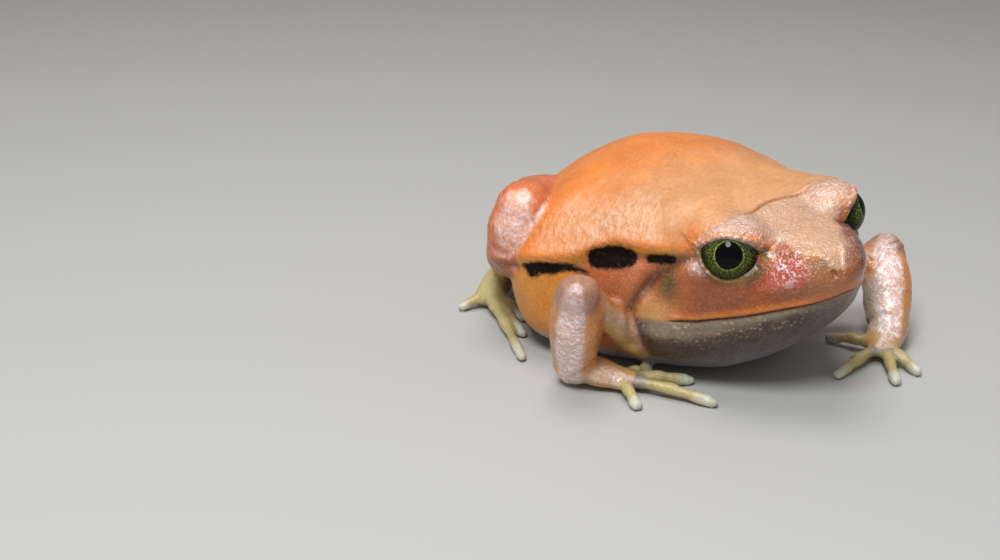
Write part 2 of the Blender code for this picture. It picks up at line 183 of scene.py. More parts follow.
# %% The trunk's surface
def swelling_reach(x, y, z, middle_z, centre, size, lean):
    """How far an ellipsoid or its mirror image reaches on the line from a section's middle to each point."""
    reach = np.hypot(x, z - middle_z)
    centre_z = centre[2] + lean * np.sign(x)
    across = np.abs(x) / reach
    up = (z - middle_z) / reach
    wide, long, tall = size
    left = 1 - ((y - centre[1]) / long) ** 2
    a = (across / wide) ** 2 + (up / tall) ** 2
    b = across * centre[0] / wide**2 + up * (centre_z - middle_z) / tall**2
    c = (centre[0] / wide) ** 2 + ((centre_z - middle_z) / tall) ** 2 - left
    inside = b * b - a * c
    far_side = (b + np.sqrt(np.maximum(inside, 0))) / a
    return np.where(inside > 0, np.maximum(far_side, 0), 0)


def trunk_rings(rows, sides):
    """Superellipse sections on rows that crowd towards both ends, swollen by soft maximum and then rolled."""
    table = np.array(STATIONS)
    middle = (SNOUT_Y + VENT_Y) / 2
    half_length = (VENT_Y - SNOUT_Y) / 2
    turn = np.arccos(np.clip((middle - table[:, 0]) / half_length, -1, 1))
    even = np.linspace(0, 1, rows + 2)[1:-1]
    at = math.pi * (0.62 * even + 0.38 * even**1.8)
    half, top, widest, bottom, crown, belly = smooth(turn, table[:, 1:], at).T
    y = middle - half_length * np.cos(at)
    angle = np.linspace(0, 2 * math.pi, sides, endpoint=False)[None, :]
    up = np.cos(angle) >= 0
    power = 2 / np.where(up, crown[:, None], belly[:, None])
    height = np.where(up, (top - widest)[:, None], (widest - bottom)[:, None])
    x = half[:, None] * np.sign(np.sin(angle)) * np.abs(np.sin(angle)) ** power
    z = widest[:, None] + height * np.sign(np.cos(angle)) * np.abs(np.cos(angle)) ** power
    y = np.broadcast_to(y[:, None], x.shape)
    middle_z = widest[:, None]
    reach = np.hypot(x, z - middle_z)
    out = sum(swelling_reach(x, y, z, middle_z, *form) ** SWELL_BLEND for form in SWELLINGS)
    grown = (reach**SWELL_BLEND + out) ** (1 / SWELL_BLEND)
    x, z = x * grown / reach, middle_z + (z - middle_z) * grown / reach
    y = y + CHIN_TUCK * step(z, 26.5, 22.0) * step(y, -33, -40)
    return rolled(np.stack([x, y, z], axis=2))


def closed_skin(rings):
    """Points and triangles over rings of equal length, with a pole before the first and past the last."""
    rows, sides = rings.shape[:2]
    points = np.concatenate([rings[:1].mean(axis=1), rings.reshape(-1, 3), rings[-1:].mean(axis=1)])
    last = len(points) - 1
    here = np.arange(sides)
    after = (here + 1) % sides
    first = 1 + np.arange(rows - 1)[:, None] * sides
    a, b = first + here, first + after
    c, d = b + sides, a + sides
    body = np.stack([a, b, c, a, c, d], axis=2).reshape(-1, 3)
    front = np.stack([np.zeros(sides, int), 1 + after, 1 + here], axis=1)
    back = np.stack([np.full(sides, last), last - sides + here, last - sides + after], axis=1)
    faces = np.concatenate([front, body, back])
    corners = points[faces]
    volume = np.einsum("ij,ij->i", corners[:, 0], np.cross(corners[:, 1], corners[:, 2])).sum()
    return points, faces if volume > 0 else faces[:, ::-1]


trunk = closed_skin(trunk_rings(BODY_ROWS, BODY_SIDES))
print("trunk surface:", len(trunk[0]), "points")

# %% [markdown]
# A limb is a profile carried along a path: a circle whose radius swells and narrows from joint to joint,
# with round ends so that two segments meet in a ball. Fingers and toes are the same, only thinner, with
# a slightly fuller pad at the tip. Keeping each path and its radii lets later steps ask how far a point
# of the skin is from a limb.

# %% Limb paths
SHOULDER = np.array((19.0, -10.0, 7.6))
ELBOW_SAG = np.array((0.0, 0.0, -0.1))
RIGHT_ELBOW, LEFT_ELBOW = np.array((-36.0, -13.6, 20.8)), np.array((37.2, -17.0, 15.8))
RIGHT_WRIST, LEFT_WRIST = np.array((-31.6, -7.6, 4.2)), np.array((30.2, -26.0, 4.0))
RIGHT_PALM, LEFT_PALM = np.array((-25.8, -13.0, 2.2)), np.array((26.2, -28.0, 2.3))
RIGHT_FINGERS = ((-17.5, -11.5), (-13.5, -18.5), (-15.9, -27.3), (-28.0, -21.3))
LEFT_FINGERS = ((22.6, -18.2), (11.6, -30.8), (18.8, -38.2), (25.4, -37.4))
HIP = np.array((10.0, 27.0, 17.0))
RIGHT_KNEE, RIGHT_SHANK_KNEE = np.array((-27.8, 14.4, 26.2)), np.array((-28.9, 15.2, 18.8))
LEFT_KNEE, LEFT_SHANK_KNEE = np.array((29.4, 15.6, 21.4)), np.array((29.4, 15.8, 13.6))
HEEL = np.array((15.0, 38.0, 5.8))
MIDFOOT = np.array((24.6, 31.0, 2.6))
TOES = ((21.6, 25.4), (23.4, 20.6), (27.8, 14.2), (34.0, 5.4), (31.0, 31.6))
TIP_Z = 0.95
LIMB_STEPS = 30
FINGER_RADII = (1.6, 1.3, 1.05, 1.2, 0.95, 1.12, 1.05)
TOE_RADII = (1.8, 1.4, 1.15, 1.25, 0.95, 1.08, 1.0)
ARMS = (
    ("right", -1, RIGHT_ELBOW, RIGHT_WRIST, RIGHT_PALM, RIGHT_FINGERS),
    ("left", 1, LEFT_ELBOW, LEFT_WRIST, LEFT_PALM, LEFT_FINGERS),
)
LEGS = (("right", -1, RIGHT_KNEE, RIGHT_SHANK_KNEE), ("left", 1, LEFT_KNEE, LEFT_SHANK_KNEE))
limbs = {}


def lay_limb(name, knots, radii, flatness=1.0):
    """Stores a smooth path through the knots, the radius along it, and how flat its section is."""
    limbs[name] = (curve(knots, LIMB_STEPS), curve(radii, LIMB_STEPS), flatness)


def lay_arm(word, side, elbow, wrist, palm, tips):
    shoulder = SHOULDER * (side, 1, 1)
    lay_limb(word + "_upper_arm", (shoulder, (shoulder + elbow) / 2 + ELBOW_SAG, elbow), (3.6, 2.6, 3.5))
    lay_limb(word + "_forearm", (elbow, (elbow + wrist) / 2, wrist), (3.9, 4.6, 3.8))
    lay_limb(word + "_hand", (wrist, (wrist + palm) / 2, palm), (3.5, 3.6, 3.0), 0.7)
    for number, (x, y) in enumerate(tips):
        tip = np.array((x, y, TIP_Z))
        bend = palm * 0.45 + tip * 0.55 + (0, 0, 0.5)
        lay_limb(f"{word}_finger_{number}", (palm, bend, tip), FINGER_RADII)


def lay_leg(word, side, knee, under_knee):
    hip, heel, midfoot = (joint * (side, 1, 1) for joint in (HIP, HEEL, MIDFOOT))
    lay_limb(word + "_thigh", (hip, (hip + knee) / 2 + (0, 0, 1.0), knee), (7.6, 7.2, 5.8))
    bulge = (knee + under_knee) / 2 + (side * 0.3, 0, 0)
    lay_limb(word + "_shank_and_knee", (knee, bulge, under_knee), (5.6, 6.3, 5.6))
    calf = (under_knee + heel) / 2 + (side * 0.4, -0.6, 0.8)
    lay_limb(word + "_shank", (under_knee, calf, heel), (5.6, 5.4, 3.2))
    lay_limb(word + "_foot", (heel, (heel + midfoot) / 2, midfoot), (3.0, 3.2, 3.2), 0.75)
    for number, (x, y) in enumerate(TOES):
        tip = np.array((x * side, y, TIP_Z))
        bend = midfoot * 0.5 + tip * 0.5 + (0, 0, 0.2)
        lay_limb(f"{word}_toe_{number}", (midfoot, bend, tip), TOE_RADII)
    for number, (first, second) in enumerate(zip(TOES[:-2], TOES[1:-1])):
        between = np.array(((first[0] + second[0]) * side / 2, (first[1] + second[1]) / 2, 1.1))
        reach = midfoot * 0.48 + between * 0.52
        lay_limb(f"{word}_foot_web_{number}", (midfoot, (midfoot + reach) / 2, reach), (2.2, 2.0, 1.5), 0.42)


for arm in ARMS:
    lay_arm(*arm)
for leg in LEGS:
    lay_leg(*leg)
print("limb segments, fingers and toes:", len(limbs))

# %% The limbs' surface
def tube(path, radius, flatness, sides=28):
    """Rings of the radius round the path, closed at each end by a quarter circle's worth of smaller rings."""
    ahead = unit(np.gradient(path, axis=0))
    cap = np.radians((15.0, 30.0, 45.0, 60.0, 75.0))
    count = len(cap)
    first = path[0] - ahead[0] * radius[0] * np.sin(cap[::-1])[:, None]
    last = path[-1] + ahead[-1] * radius[-1] * np.sin(cap)[:, None]
    path = np.concatenate([first, path, last])
    radius = np.concatenate([radius[0] * np.cos(cap[::-1]), radius, radius[-1] * np.cos(cap)])
    ahead = np.concatenate([ahead[:1].repeat(count, axis=0), ahead, ahead[-1:].repeat(count, axis=0)])
    across = unit(np.cross(ahead, (0.0, 0.0, 1.0)) + np.array((1e-6, 0.0, 0.0)))
    over = np.cross(across, ahead)
    angle = np.linspace(0, 2 * math.pi, sides, endpoint=False)[None, :, None]
    radius = radius[:, None, None]
    rings = path[:, None] + radius * np.cos(angle) * across[:, None]
    return closed_skin(rings + flatness * radius * np.sin(angle) * over[:, None])


def sphere(centre, radius, rows=40, sides=60):
    """Latitude rings of a ball."""
    tilt = np.linspace(0, math.pi, rows + 2)[1:-1, None]
    turn = np.linspace(0, 2 * math.pi, sides, endpoint=False)[None, :]
    x, y = np.sin(tilt) * np.cos(turn), np.sin(tilt) * np.sin(turn)
    rings = centre + radius * np.stack([x, y, np.cos(tilt) * np.ones_like(turn)], axis=2)
    return closed_skin(rings)


LID_COVER = 0.42
pieces = [trunk, *(tube(*limb) for limb in limbs.values())]
for side in (-1, 1):
    pieces.append(sphere(rolled(EYE_CENTRE * (side, 1, 1)), EYE_RADIUS + LID_COVER))
print("closed surfaces to fuse:", len(pieces))

# %% [markdown]
# Flesh has no seams, so all these closed surfaces are fused into one. A union keeps hard creases where
# limbs enter the body; a voxel remesh gives one even net of small quads over everything instead, which
# can then be relaxed, cut finer and pushed about. That is how a sculptor would start as well.

# %% Fuse the flesh
VOXEL = 0.7


def link(name, data):
    """A new object round the data, in the scene."""
    obj = bpy.data.objects.new(name, data)
    bpy.context.scene.collection.objects.link(obj)
    return obj


def new_object(name, points, faces):
    """A mesh object from millimetre points, moved by SHIFT to the frame's own origin."""
    mesh = bpy.data.meshes.new(name)
    mesh.from_pydata(((points + SHIFT) * MM).tolist(), [], faces.tolist())
    mesh.update()
    return link(name, mesh)


def points_of(mesh, what="co"):
    values = np.empty(len(mesh.vertices) * 3, np.float32)
    mesh.vertices.foreach_get(what, values)
    return values.reshape(-1, 3).astype(float)


def read(mesh):
    """The mesh's points in drawing millimetres."""
    return points_of(mesh) / MM - SHIFT


def write(mesh, points):
    mesh.vertices.foreach_set("co", ((points + SHIFT) * MM).astype(np.float32).ravel())
    mesh.update()


def edges_of(mesh):
    edges = np.empty(len(mesh.edges) * 2, np.int32)
    mesh.edges.foreach_get("vertices", edges)
    return edges.reshape(-1, 2)


starts = np.cumsum([0] + [len(piece[0]) for piece in pieces])
all_points = np.concatenate([piece[0] for piece in pieces])
all_faces = np.concatenate([piece[1] + start for piece, start in zip(pieces, starts)])
skin = new_object("frog_skin", all_points, all_faces)
remesh = skin.modifiers.new("Fuse", "REMESH")
remesh.mode = "VOXEL"
remesh.voxel_size = VOXEL * MM
loose = skin.data
skin.data = bpy.data.meshes.new_from_object(skin.evaluated_get(bpy.context.evaluated_depsgraph_get()))
skin.modifiers.clear()
bpy.data.meshes.remove(loose)
skin.data.name = "frog_skin"
print("fused skin:", len(skin.data.vertices), "points")

# %% [markdown]
# Relaxing moves each point towards the mean of its neighbours, which is a Laplacian smoothing. Done
# everywhere it would melt the fingers, so it is weighted: a light pass over all, and a strong one only
# inside a ball round each joint, where the skin of a real frog runs in a soft web from limb to body.

# %% Relax the joins
STEP_BACK = 1.04


def relax(mesh, weight, times, hold_volume=True):
    """Each pass adds weight * (mean of neighbours - point); a slightly larger step back holds the volume."""
    points = read(mesh)
    edges = edges_of(mesh)
    count = len(points)
    a, b = edges[:, 0], edges[:, 1]
    degree = np.maximum(np.bincount(edges.ravel(), minlength=count), 1)[:, None]
    weight = np.broadcast_to(np.asarray(weight, float), (count,))[:, None]
    for _ in range(times):
        for amount in (1.0, -STEP_BACK) if hold_volume else (1.0,):
            sums = [np.bincount(a, axis[b], count) + np.bincount(b, axis[a], count) for axis in points.T]
            points = points + amount * weight * (np.stack(sums, axis=1) / degree - points)
    write(mesh, points)


def near_ball(points, centre, radius):
    """1 in the inner third of a ball, falling to 0 at its surface."""
    return step(away(points, centre), radius, radius / 3)


# Balls round the joints: centre and radius.
meetings = []
for _, side, elbow, wrist, palm, _ in ARMS:
    arm_root = SHOULDER * (side, 1, 1) * 0.8 + elbow * 0.2
    meetings += [(arm_root, 7.0), (elbow, 8.0), (wrist, 6.5), (palm, 4.5)]
for _, side, knee, under_knee in LEGS:
    meetings += [((knee + under_knee) / 2, 8.0), (HIP * (side, 1, 1), 13.0)]
    meetings += [(HEEL * (side, 1, 1), 6.0), (MIDFOOT * (side, 1, 1), 5.0)]
BROW_PLACE = (12, -25, 30)

relax(skin.data, 0.5, 4)
place = read(skin.data)
join_weight = np.max([near_ball(place, centre, radius) for centre, radius in meetings], axis=0)
relax(skin.data, 0.5 * join_weight, 14, hold_volume=False)
folded = np.abs(place[:, :1]) * (1, 0, 0) + place * (0, 1, 1)
relax(skin.data, 0.5 * step(away(folded, BROW_PLACE), 12, 7), 8)
print("joins relaxed:", len(meetings))

# %% [markdown]
# Lids, lips and nostrils need a finer net than the back does. Only the faces of the head and the digits,
# and then those by the eyes, mouth, crease and nostrils, are split, so that the whole stays light.

# %% Landmarks of the head, with the head held level
# Mouth line: y, z. It climbs from its corner to the tip of the snout.
MOUTH = np.array(((-46.0, 26.0), (-41.4, 24.1), (-39.6, 22.5), (-38.4, 21.9), (-36.2, 21.2), (-33.0, 20.3),
                  (-29.5, 19.1), (-25.8, 18.0), (-20.6, 16.2), (-15.0, 14.6)))
MOUTH_CORNER_Y = -19.6
# Edge of the back behind the eyes: distance from the middle, y.
CREASE = np.array(((0.0, -22.2), (3.0, -22.6), (6.0, -23.3), (9.0, -23.6), (12.5, -24.0), (15.3, -23.4),
                   (17.5, -21.0)))
# Fold along the side, where the back overhangs the flank: y, z.
SIDE_FOLD = np.array(((-22.4, 29.9), (-17.5, 27.2), (-15.2, 26.0), (-13.1, 25.4), (-10.8, 25.2), (-6.9, 24.9),
                      (-4.1, 22.9), (-2.1, 21.5), (1.3, 20.4), (6.2, 19.2), (12.4, 17.1), (22.0, 15.0),
                      (40.0, 12.0)))
# Groove from the eye over the jaw joint to the arm: distance from the middle, y, z.
GROOVE = np.array(((17.3, -21.6, 28.8), (16.9, -19.8, 27.3), (18.9, -17.3, 24.4), (20.7, -15.3, 21.6),
                   (22.3, -14.3, 19.1), (23.5, -13.8, 17.0), (24.0, -13.2, 14.8), (23.6, -12.6, 12.0),
                   (22.6, -12.4, 8.0)))
# Ridge from the eye to the nostril, and the thin ridge down the front of the snout: x, y, z.
CANTHUS = np.array(((10.4, -31.4, 31.4), (9.0, -32.2, 31.1), (7.4, -33.4, 30.7), (5.9, -35.1, 30.4),
                    (4.4, -37.0, 30.1), (3.2, -38.8, 29.2), (2.9, -39.9, 28.0)))
SNOUT_RIDGE = np.array(((1.0, -37.4, 30.7), (0.0, -38.9, 30.1), (-1.2, -40.1, 28.8), (-1.7, -40.8, 27.2),
                        (-1.9, -41.0, 25.8)))
NOSTRIL = np.array((3.1, -40.1, 27.0))
EYE_HOLLOW = np.array((9.0, -31.7, 30.7))
HOLLOW_DEPTH = {"left": 2.2, "right": 1.2}
HOLLOW_WIDTH = 2.2
CARUNCLE = np.array((9.6, -30.7, 29.5))
CARUNCLE_SIZE = (0.9, 0.9, 1.5)
SKIN_THICKNESS = 1.5
print("the mouth runs back", round(MOUTH_CORNER_Y - SNOUT_Y, 1), "mm from the snout")


def mirrored(points):
    """Straightened places folded onto the left side, so that one landmark serves both."""
    level = straightened(points)
    level[:, 0] = np.abs(level[:, 0])
    return level


def along_skin(off, normals):
    """Length of each offset, where the part along the normal counts only from SKIN_THICKNESS on."""
    lift = np.einsum("ij,ij->i", off, normals)
    flat = np.linalg.norm(off - lift[:, None] * normals, axis=1)
    return np.hypot(flat, np.maximum(np.abs(lift) - SKIN_THICKNESS, 0))


def gap_to(points, normals, line):
    """Least distance to a chain of segments, measured along the skin."""
    best = np.full(len(points), 1e9)
    for start, end in zip(line[:-1], line[1:]):
        along = end - start
        t = np.clip((points - start) @ along / (along @ along), 0, 1)
        best = np.minimum(best, along_skin(points - (start + t[:, None] * along), normals))
    return best


def mirrored_normals(mesh, points):
    """Vertex normals turned and folded in the same way as the places."""
    tips = straightened(points + points_of(mesh, "normal")) - straightened(points)
    tips[:, 0] *= np.where(straightened(points)[:, 0] < 0, -1, 1)
    return unit(tips)

# %% The eye's own axes and its opening
FORWARD = unit(np.array((0.0, -1.0, 0.0)) - GAZE * -GAZE[1])
OVER = np.cross(FORWARD, GAZE)
OVER = OVER * np.sign(OVER[2])
OPENING_TILT = math.radians(15.0)
OPENING_MIDDLE = -0.6
OPENING_FRONT = 7.2
OPENING_BACK = 5.9
OPENING_ABOVE = 2.65
OPENING_BELOW = 5.1
OPENING_POWER = 1.5


def eye_plane(level):
    """A flat map of the ball, in mm of arc from the gaze: along the opening, up it, and reach outwards."""
    from_eye = level - EYE_CENTRE
    reach = np.maximum(np.linalg.norm(from_eye, axis=1), 1e-6)
    ahead, over, out = from_eye @ FORWARD, from_eye @ OVER, from_eye @ GAZE
    arc = EYE_RADIUS * np.arccos(np.clip(out / reach, -1, 1)) / np.maximum(np.hypot(ahead, over), 1e-6)
    c, s = math.cos(OPENING_TILT), math.sin(OPENING_TILT)
    return arc * (ahead * c + over * s), arc * (over * c - ahead * s), reach


def past_rim(along, up, reach):
    """How far past the opening a place is, in mm: (s - 1) / |grad s|, with s = ((a/w)^n + (b/h)^n)^(1/n)."""
    a, b = along - OPENING_MIDDLE, up
    wide = np.where(a > 0, OPENING_FRONT, OPENING_BACK)
    tall = np.where(b > 0, OPENING_ABOVE, OPENING_BELOW)
    n = OPENING_POWER
    part_a, part_b = np.maximum(np.abs(a / wide), 1e-4), np.maximum(np.abs(b / tall), 1e-4)
    size = (part_a**n + part_b**n) ** (1 / n)
    slope = size ** (1 - n) * np.hypot(part_a ** (n - 1) / wide, part_b ** (n - 1) / tall)
    return (size - 1) / slope


print("gaze in the level head:", GAZE.round(2))

# %% Cut the net finer
def refine(obj, chosen):
    """Splits every face whose corners all lie in the chosen places into four."""
    shape = bmesh.new()
    shape.from_mesh(obj.data)
    shape.verts.ensure_lookup_table()
    edges = [edge for edge in shape.edges if chosen[edge.verts[0].index] and chosen[edge.verts[1].index]]
    bmesh.ops.subdivide_edges(shape, edges=edges, cuts=1, use_grid_fill=True)
    shape.to_mesh(obj.data)
    shape.free()
    obj.data.update()
    print("net is now", len(obj.data.vertices), "points")


def nearest_limb(points, words):
    """For the nearest limb whose name holds one of the words: distance to its surface, share of the way
    along it, which way off its axis, and which way the axis runs."""
    best = np.full(len(points), 1e9)
    share = np.zeros(len(points))
    way = np.zeros(points.shape)
    ahead = np.zeros(points.shape)
    for name, (path, radius, _) in limbs.items():
        if not any(word in name for word in words):
            continue
        runs = unit(np.gradient(path, axis=0))
        for spot, size, part, run in zip(path, radius, np.linspace(0, 1, len(path)), runs):
            off = points - spot
            distance = np.linalg.norm(off, axis=1)
            closer = distance - size < best
            best = np.where(closer, distance - size, best)
            share = np.where(closer, part, share)
            way = np.where(closer[:, None], off / np.maximum(distance, 1e-6)[:, None], way)
            ahead = np.where(closer[:, None], run, ahead)
    return best, share, way, ahead


def round_axis(way, ahead, aim):
    """Cosine of the angle round a limb's axis between a place and an aim, both laid square to the axis."""
    square = way - np.einsum("ij,ij->i", way, ahead)[:, None] * ahead
    to_aim = aim - (ahead @ aim)[:, None] * ahead
    length = np.linalg.norm(square, axis=1) * np.linalg.norm(to_aim, axis=1)
    return np.einsum("ij,ij->i", square, to_aim) / np.maximum(length, 1e-6)


def fine_zone(mesh):
    """Head in front of the shoulders, above the throat, with the hands and feet."""
    points = read(mesh)
    level = mirrored(points)
    head = (level[:, 1] < -17.5) & (level[:, 2] > 10.5)
    digits = nearest_limb(points, ("finger", "toe"))[0] < 0.4
    return head | digits


def past_curve(line, along, value):
    """How far a value lies past a curve that gives it for each place along."""
    return value - smooth(line[:, 0], line[:, 1], along)


def finest_zone(mesh):
    """By the rims of the eyes, the mouth, the crease and the nostrils."""
    level = mirrored(read(mesh))
    x, y, z = level.T
    in_plane = eye_plane(level)
    eyes = (np.abs(past_rim(*in_plane)) < 1.8) & (in_plane[2] < EYE_RADIUS + 4.0)
    mouth = (np.abs(past_curve(MOUTH, y, z)) < 1.0) & (y < MOUTH_CORNER_Y + 1.5)
    crease = (np.abs(past_curve(CREASE, x, y)) < 0.9) & (z > 31) & (x < 10)
    return eyes | mouth | crease | (away(level, NOSTRIL) < 1.6)


for zone in (fine_zone, finest_zone):
    refine(skin, zone(skin.data))
    relax(skin.data, 0.5 * zone(skin.data), 2)

# %% [markdown]
# Now the skin is pressed and raised like clay. Each form is a height field: a formula gives, for every
# point, how far the skin moves along its own normal. Grooves are bells below zero, folds are bells above.

# %% Folds, grooves and lips
def side_fold(level):
    """Over the fold line the back bulges by half a millimetre, and just below it the flank is drawn in."""
    x, y, z = level.T
    over = past_curve(SIDE_FOLD, y, z)
    where = step(y, -21.0, -16.0) * step(y, 22.0, 10.0) * step(x, 10, 14)
    return where * (0.5 * bell(over, 1.0, 1.5) - 0.8 * bell(over, -0.8, 1.0)), over


def head_crease(level):
    """The back ends in a soft lip behind the eyes, with a sharp little valley in front of it."""
    x, y, z = level.T
    behind = past_curve(CREASE, x, y)
    where = step(z, 29.5, 31.5) * (1 - 0.6 * step(x, 6.5, 9.5)) * step(x, 17, 13)
    return where * (0.2 * bell(behind, 0.6, 0.7) - 0.34 * bell(behind, -0.1, 0.22)), behind, where


def mouth_line(level):
    """A cut at the mouth line, a full upper lip above it and a set-back lower lip under it."""
    over = past_curve(MOUTH, level[:, 1], level[:, 2])
    where = step(level[:, 1], MOUTH_CORNER_Y + 1.2, MOUTH_CORNER_Y - 0.8)
    lips = 0.3 * bell(over, 0.6, 0.5) - 0.28 * step(over, 0.1, -0.3) * step(over, -5.0, -2.5)
    lips = lips + 0.22 * bell(over, -1.2, 0.7)
    return where * (lips - 0.75 * bell(over, 0.0, 0.17)), over, where


def snout_forms(level, normals):
    """Ridge from eye to nostril, a thin ridge down the front of the snout, and a pit for each nostril."""
    ridge = 0.35 * bell(gap_to(level, normals, curve(CANTHUS)), 0, 0.9)
    unfolded = straightened(place)
    true_normals = normals.copy()
    true_normals[:, 0] *= np.where(unfolded[:, 0] < 0, -1, 1)
    middle = 0.34 * bell(gap_to(unfolded, true_normals, curve(SNOUT_RIDGE)), 0, 0.3)
    pit = gap_to(level, normals, np.stack([NOSTRIL, NOSTRIL + (0.1, 0.3, 0.5)]))
    return ridge + middle - 0.6 * bell(pit, 0, 0.36) + 0.10 * bell(pit, 0.8, 0.3)


def eye_corner(level):
    """A hollow in front of each eye, where the side of the snout draws in, deeper on the left."""
    depth = np.where(place[:, 0] > 0, HOLLOW_DEPTH["left"], HOLLOW_DEPTH["right"])
    return -depth * bell(away(level, EYE_HOLLOW), 0, HOLLOW_WIDTH)


def eye_bead(level):
    """How far a place is from the bead in the corner of the eye, in an upright almond's own measure."""
    return away(level, CARUNCLE, CARUNCLE_SIZE)


def joint_creases(points):
    """A pinched line across each wrist and the bend of the left elbow, with a fold of skin on each side."""
    height = np.zeros(len(points))
    joints = [(wrist, elbow, palm) for _, _, elbow, wrist, palm, _ in ARMS]
    joints.append((LEFT_ELBOW, SHOULDER, LEFT_WRIST))
    for middle, before, after in joints:
        onward, back = unit(after - middle), unit(before - middle)
        off = points - middle
        along = off @ unit(onward - back) + 0.5
        where = step(away(points, middle), 6.5, 4.5) * step(off @ unit(onward + back), 0.3, 2.0)
        pinch = -0.4 * bell(along, 0, 0.4) + 0.22 * bell(along, -1.1, 0.7)
        height += where * (pinch + 0.12 * bell(along, 1.0, 0.6))
    return height


def ripple(points, length, seed, count=14):
    """A cloud of sine waves of about the given length in seeded directions, between about -1 and 1."""
    draw = np.random.default_rng(seed)
    ways = draw.normal(size=(count, 3))
    ways *= (2 * math.pi / length / np.linalg.norm(ways, axis=1) * draw.uniform(0.7, 1.4, count))[:, None]
    return np.sin(points @ ways.T + draw.uniform(0, 2 * math.pi, count)).mean(axis=1) * math.sqrt(count / 2)


place = read(skin.data)
level = mirrored(place)
normals = mirrored_normals(skin.data, place)
out = points_of(skin.data, "normal")
groove_gap = gap_to(level, normals, curve(GROOVE))
height = side_fold(level)[0] + head_crease(level)[0] + mouth_line(level)[0]
height = height + snout_forms(level, normals) + eye_corner(level)
groove = 0.25 * bell(groove_gap, 2.0, 1.0) - 0.85 * bell(groove_gap, 0, 0.85)
height += step(level[:, 2], 29.0, 26.0) * groove
height += joint_creases(place) + 0.10 * ripple(place, 9.0, 3) + 0.035 * ripple(place, 3.2, 5)
fleshy = step(nearest_limb(place, ("forearm", "thigh", "shank"))[0], 1.0, 0.2)
pebbled = step(eye_plane(level)[2], EYE_RADIUS + 4.5, EYE_RADIUS + 1.5) * step(level[:, 2], 28, 30.5)
cheek = bell(away(level, (10.5, -33.5, 26.0), (5, 6, 4)), 0, 1.0)
height += fleshy * (0.13 * ripple(place, 2.6, 11, 24) + 0.08 * ripple(place, 1.7, 12, 24))
height += 0.09 * pebbled * ripple(place, 1.0, 13, 24) + 0.05 * cheek * ripple(place, 1.1, 14, 24)
write(skin.data, place + out * height[:, None])
relax(skin.data, 0.3, 1)
print("deepest groove and highest fold:", height.min().round(2), height.max().round(2), "mm")

# %% [markdown]
# The lids close round the ball like a wet drawstring. For each point near an eye only its distance from
# the eye's centre changes: inside the opening it sinks just under the ball, outside it stays as the
# lid's surface, and between the two it turns over a rounded rim. The opening is drawn on a flat map of
# the ball, so it can reach round to the corner by the snout, where flesh that stands high over the ball
# is cut back to a funnel.

# %% Shape the lids
RIM_WIDTH = 0.42
SINK = 0.4
LID_EDGE = 0.42
LID_WRINKLES = 26
LOBE_PLACE = (9.4, -30.6, 31.8)


def shape_lids(mesh):
    """New reach: the ball's less SINK inside the opening, the skin's own outside it, a soft S between."""
    level = straightened(read(mesh))
    for side in (-1, 1):
        local = level * (side, 1, 1)
        along, up, reach = eye_plane(local)
        rim = past_rim(along, up, reach)
        near = step(reach, EYE_RADIUS + 6.0, EYE_RADIUS + 3.2) * step(rim, 4.0, 3.0)
        wrinkles = 0.10 * np.sin(np.arctan2(up, along) * LID_WRINKLES + 2 * ripple(local, 2.0, 8))
        wrinkles = wrinkles * bell(rim, 1.7, 1.0) * step(up, 0.2, 1.8)
        folds = 0.12 * bell(rim, 0.9, 0.3) * step(up, 0.0, 1.5)
        folds = folds - 0.15 * bell(rim, 1.5, 0.3) * step(up, 0.0, 1.5)
        funnel = EYE_RADIUS + LID_EDGE + 0.9 * np.maximum(rim, 0) + 0.3 * np.maximum(rim, 0) ** 2
        skin_reach = np.clip(reach, EYE_RADIUS + LID_EDGE, funnel) + wrinkles + folds
        inner = EYE_RADIUS - SINK
        wanted = inner + (skin_reach - inner) * step(rim, -0.12, RIM_WIDTH)
        wanted = reach + near * (wanted - reach)
        local = EYE_CENTRE + (local - EYE_CENTRE) * (wanted / reach)[:, None]
        level = np.where(near[:, None] > 0, local * (side, 1, 1), level)
    write(mesh, rolled(level))


shape_lids(skin.data)
level = mirrored(read(skin.data))
lobe = step(away(level, LOBE_PLACE), 4.2, 1.5) * step(past_rim(*eye_plane(level)), 0.5, 0.9)
relax(skin.data, 0.5 * lobe, 10, hold_volume=False)
bead = 0.5 * bell(eye_bead(mirrored(read(skin.data))), 0, 0.9)
place = read(skin.data) + points_of(skin.data, "normal") * bead[:, None]
place[:, 2] = np.maximum(place[:, 2], 0.0)
write(skin.data, place)
triangles = sum(len(face.vertices) - 2 for face in skin.data.polygons)
print("skin triangles:", triangles)

# %% [markdown]
# The markings are painted on the points of the net, in layers like a painter's: ground colour first, then
# back, flank, belly, head and limbs, each with a soft mask from the same landmarks that shaped the folds.
# The blotches are kept as a distance instead, so that the material can give them a crisp, ragged edge. Some
# layers are painted light: shade in the creases, under overhangs, on the throat and under the legs, and
# highlights on the limbs and cheek.

# %% Colours of the skin
def tint(red, green, blue):
    """A colour as it looks on a screen, 0 to 255, turned to linear light."""
    share = np.array((red, green, blue)) / 255
    return np.where(share <= 0.04045, share / 12.92, ((share + 0.055) / 1.055) ** 2.4)


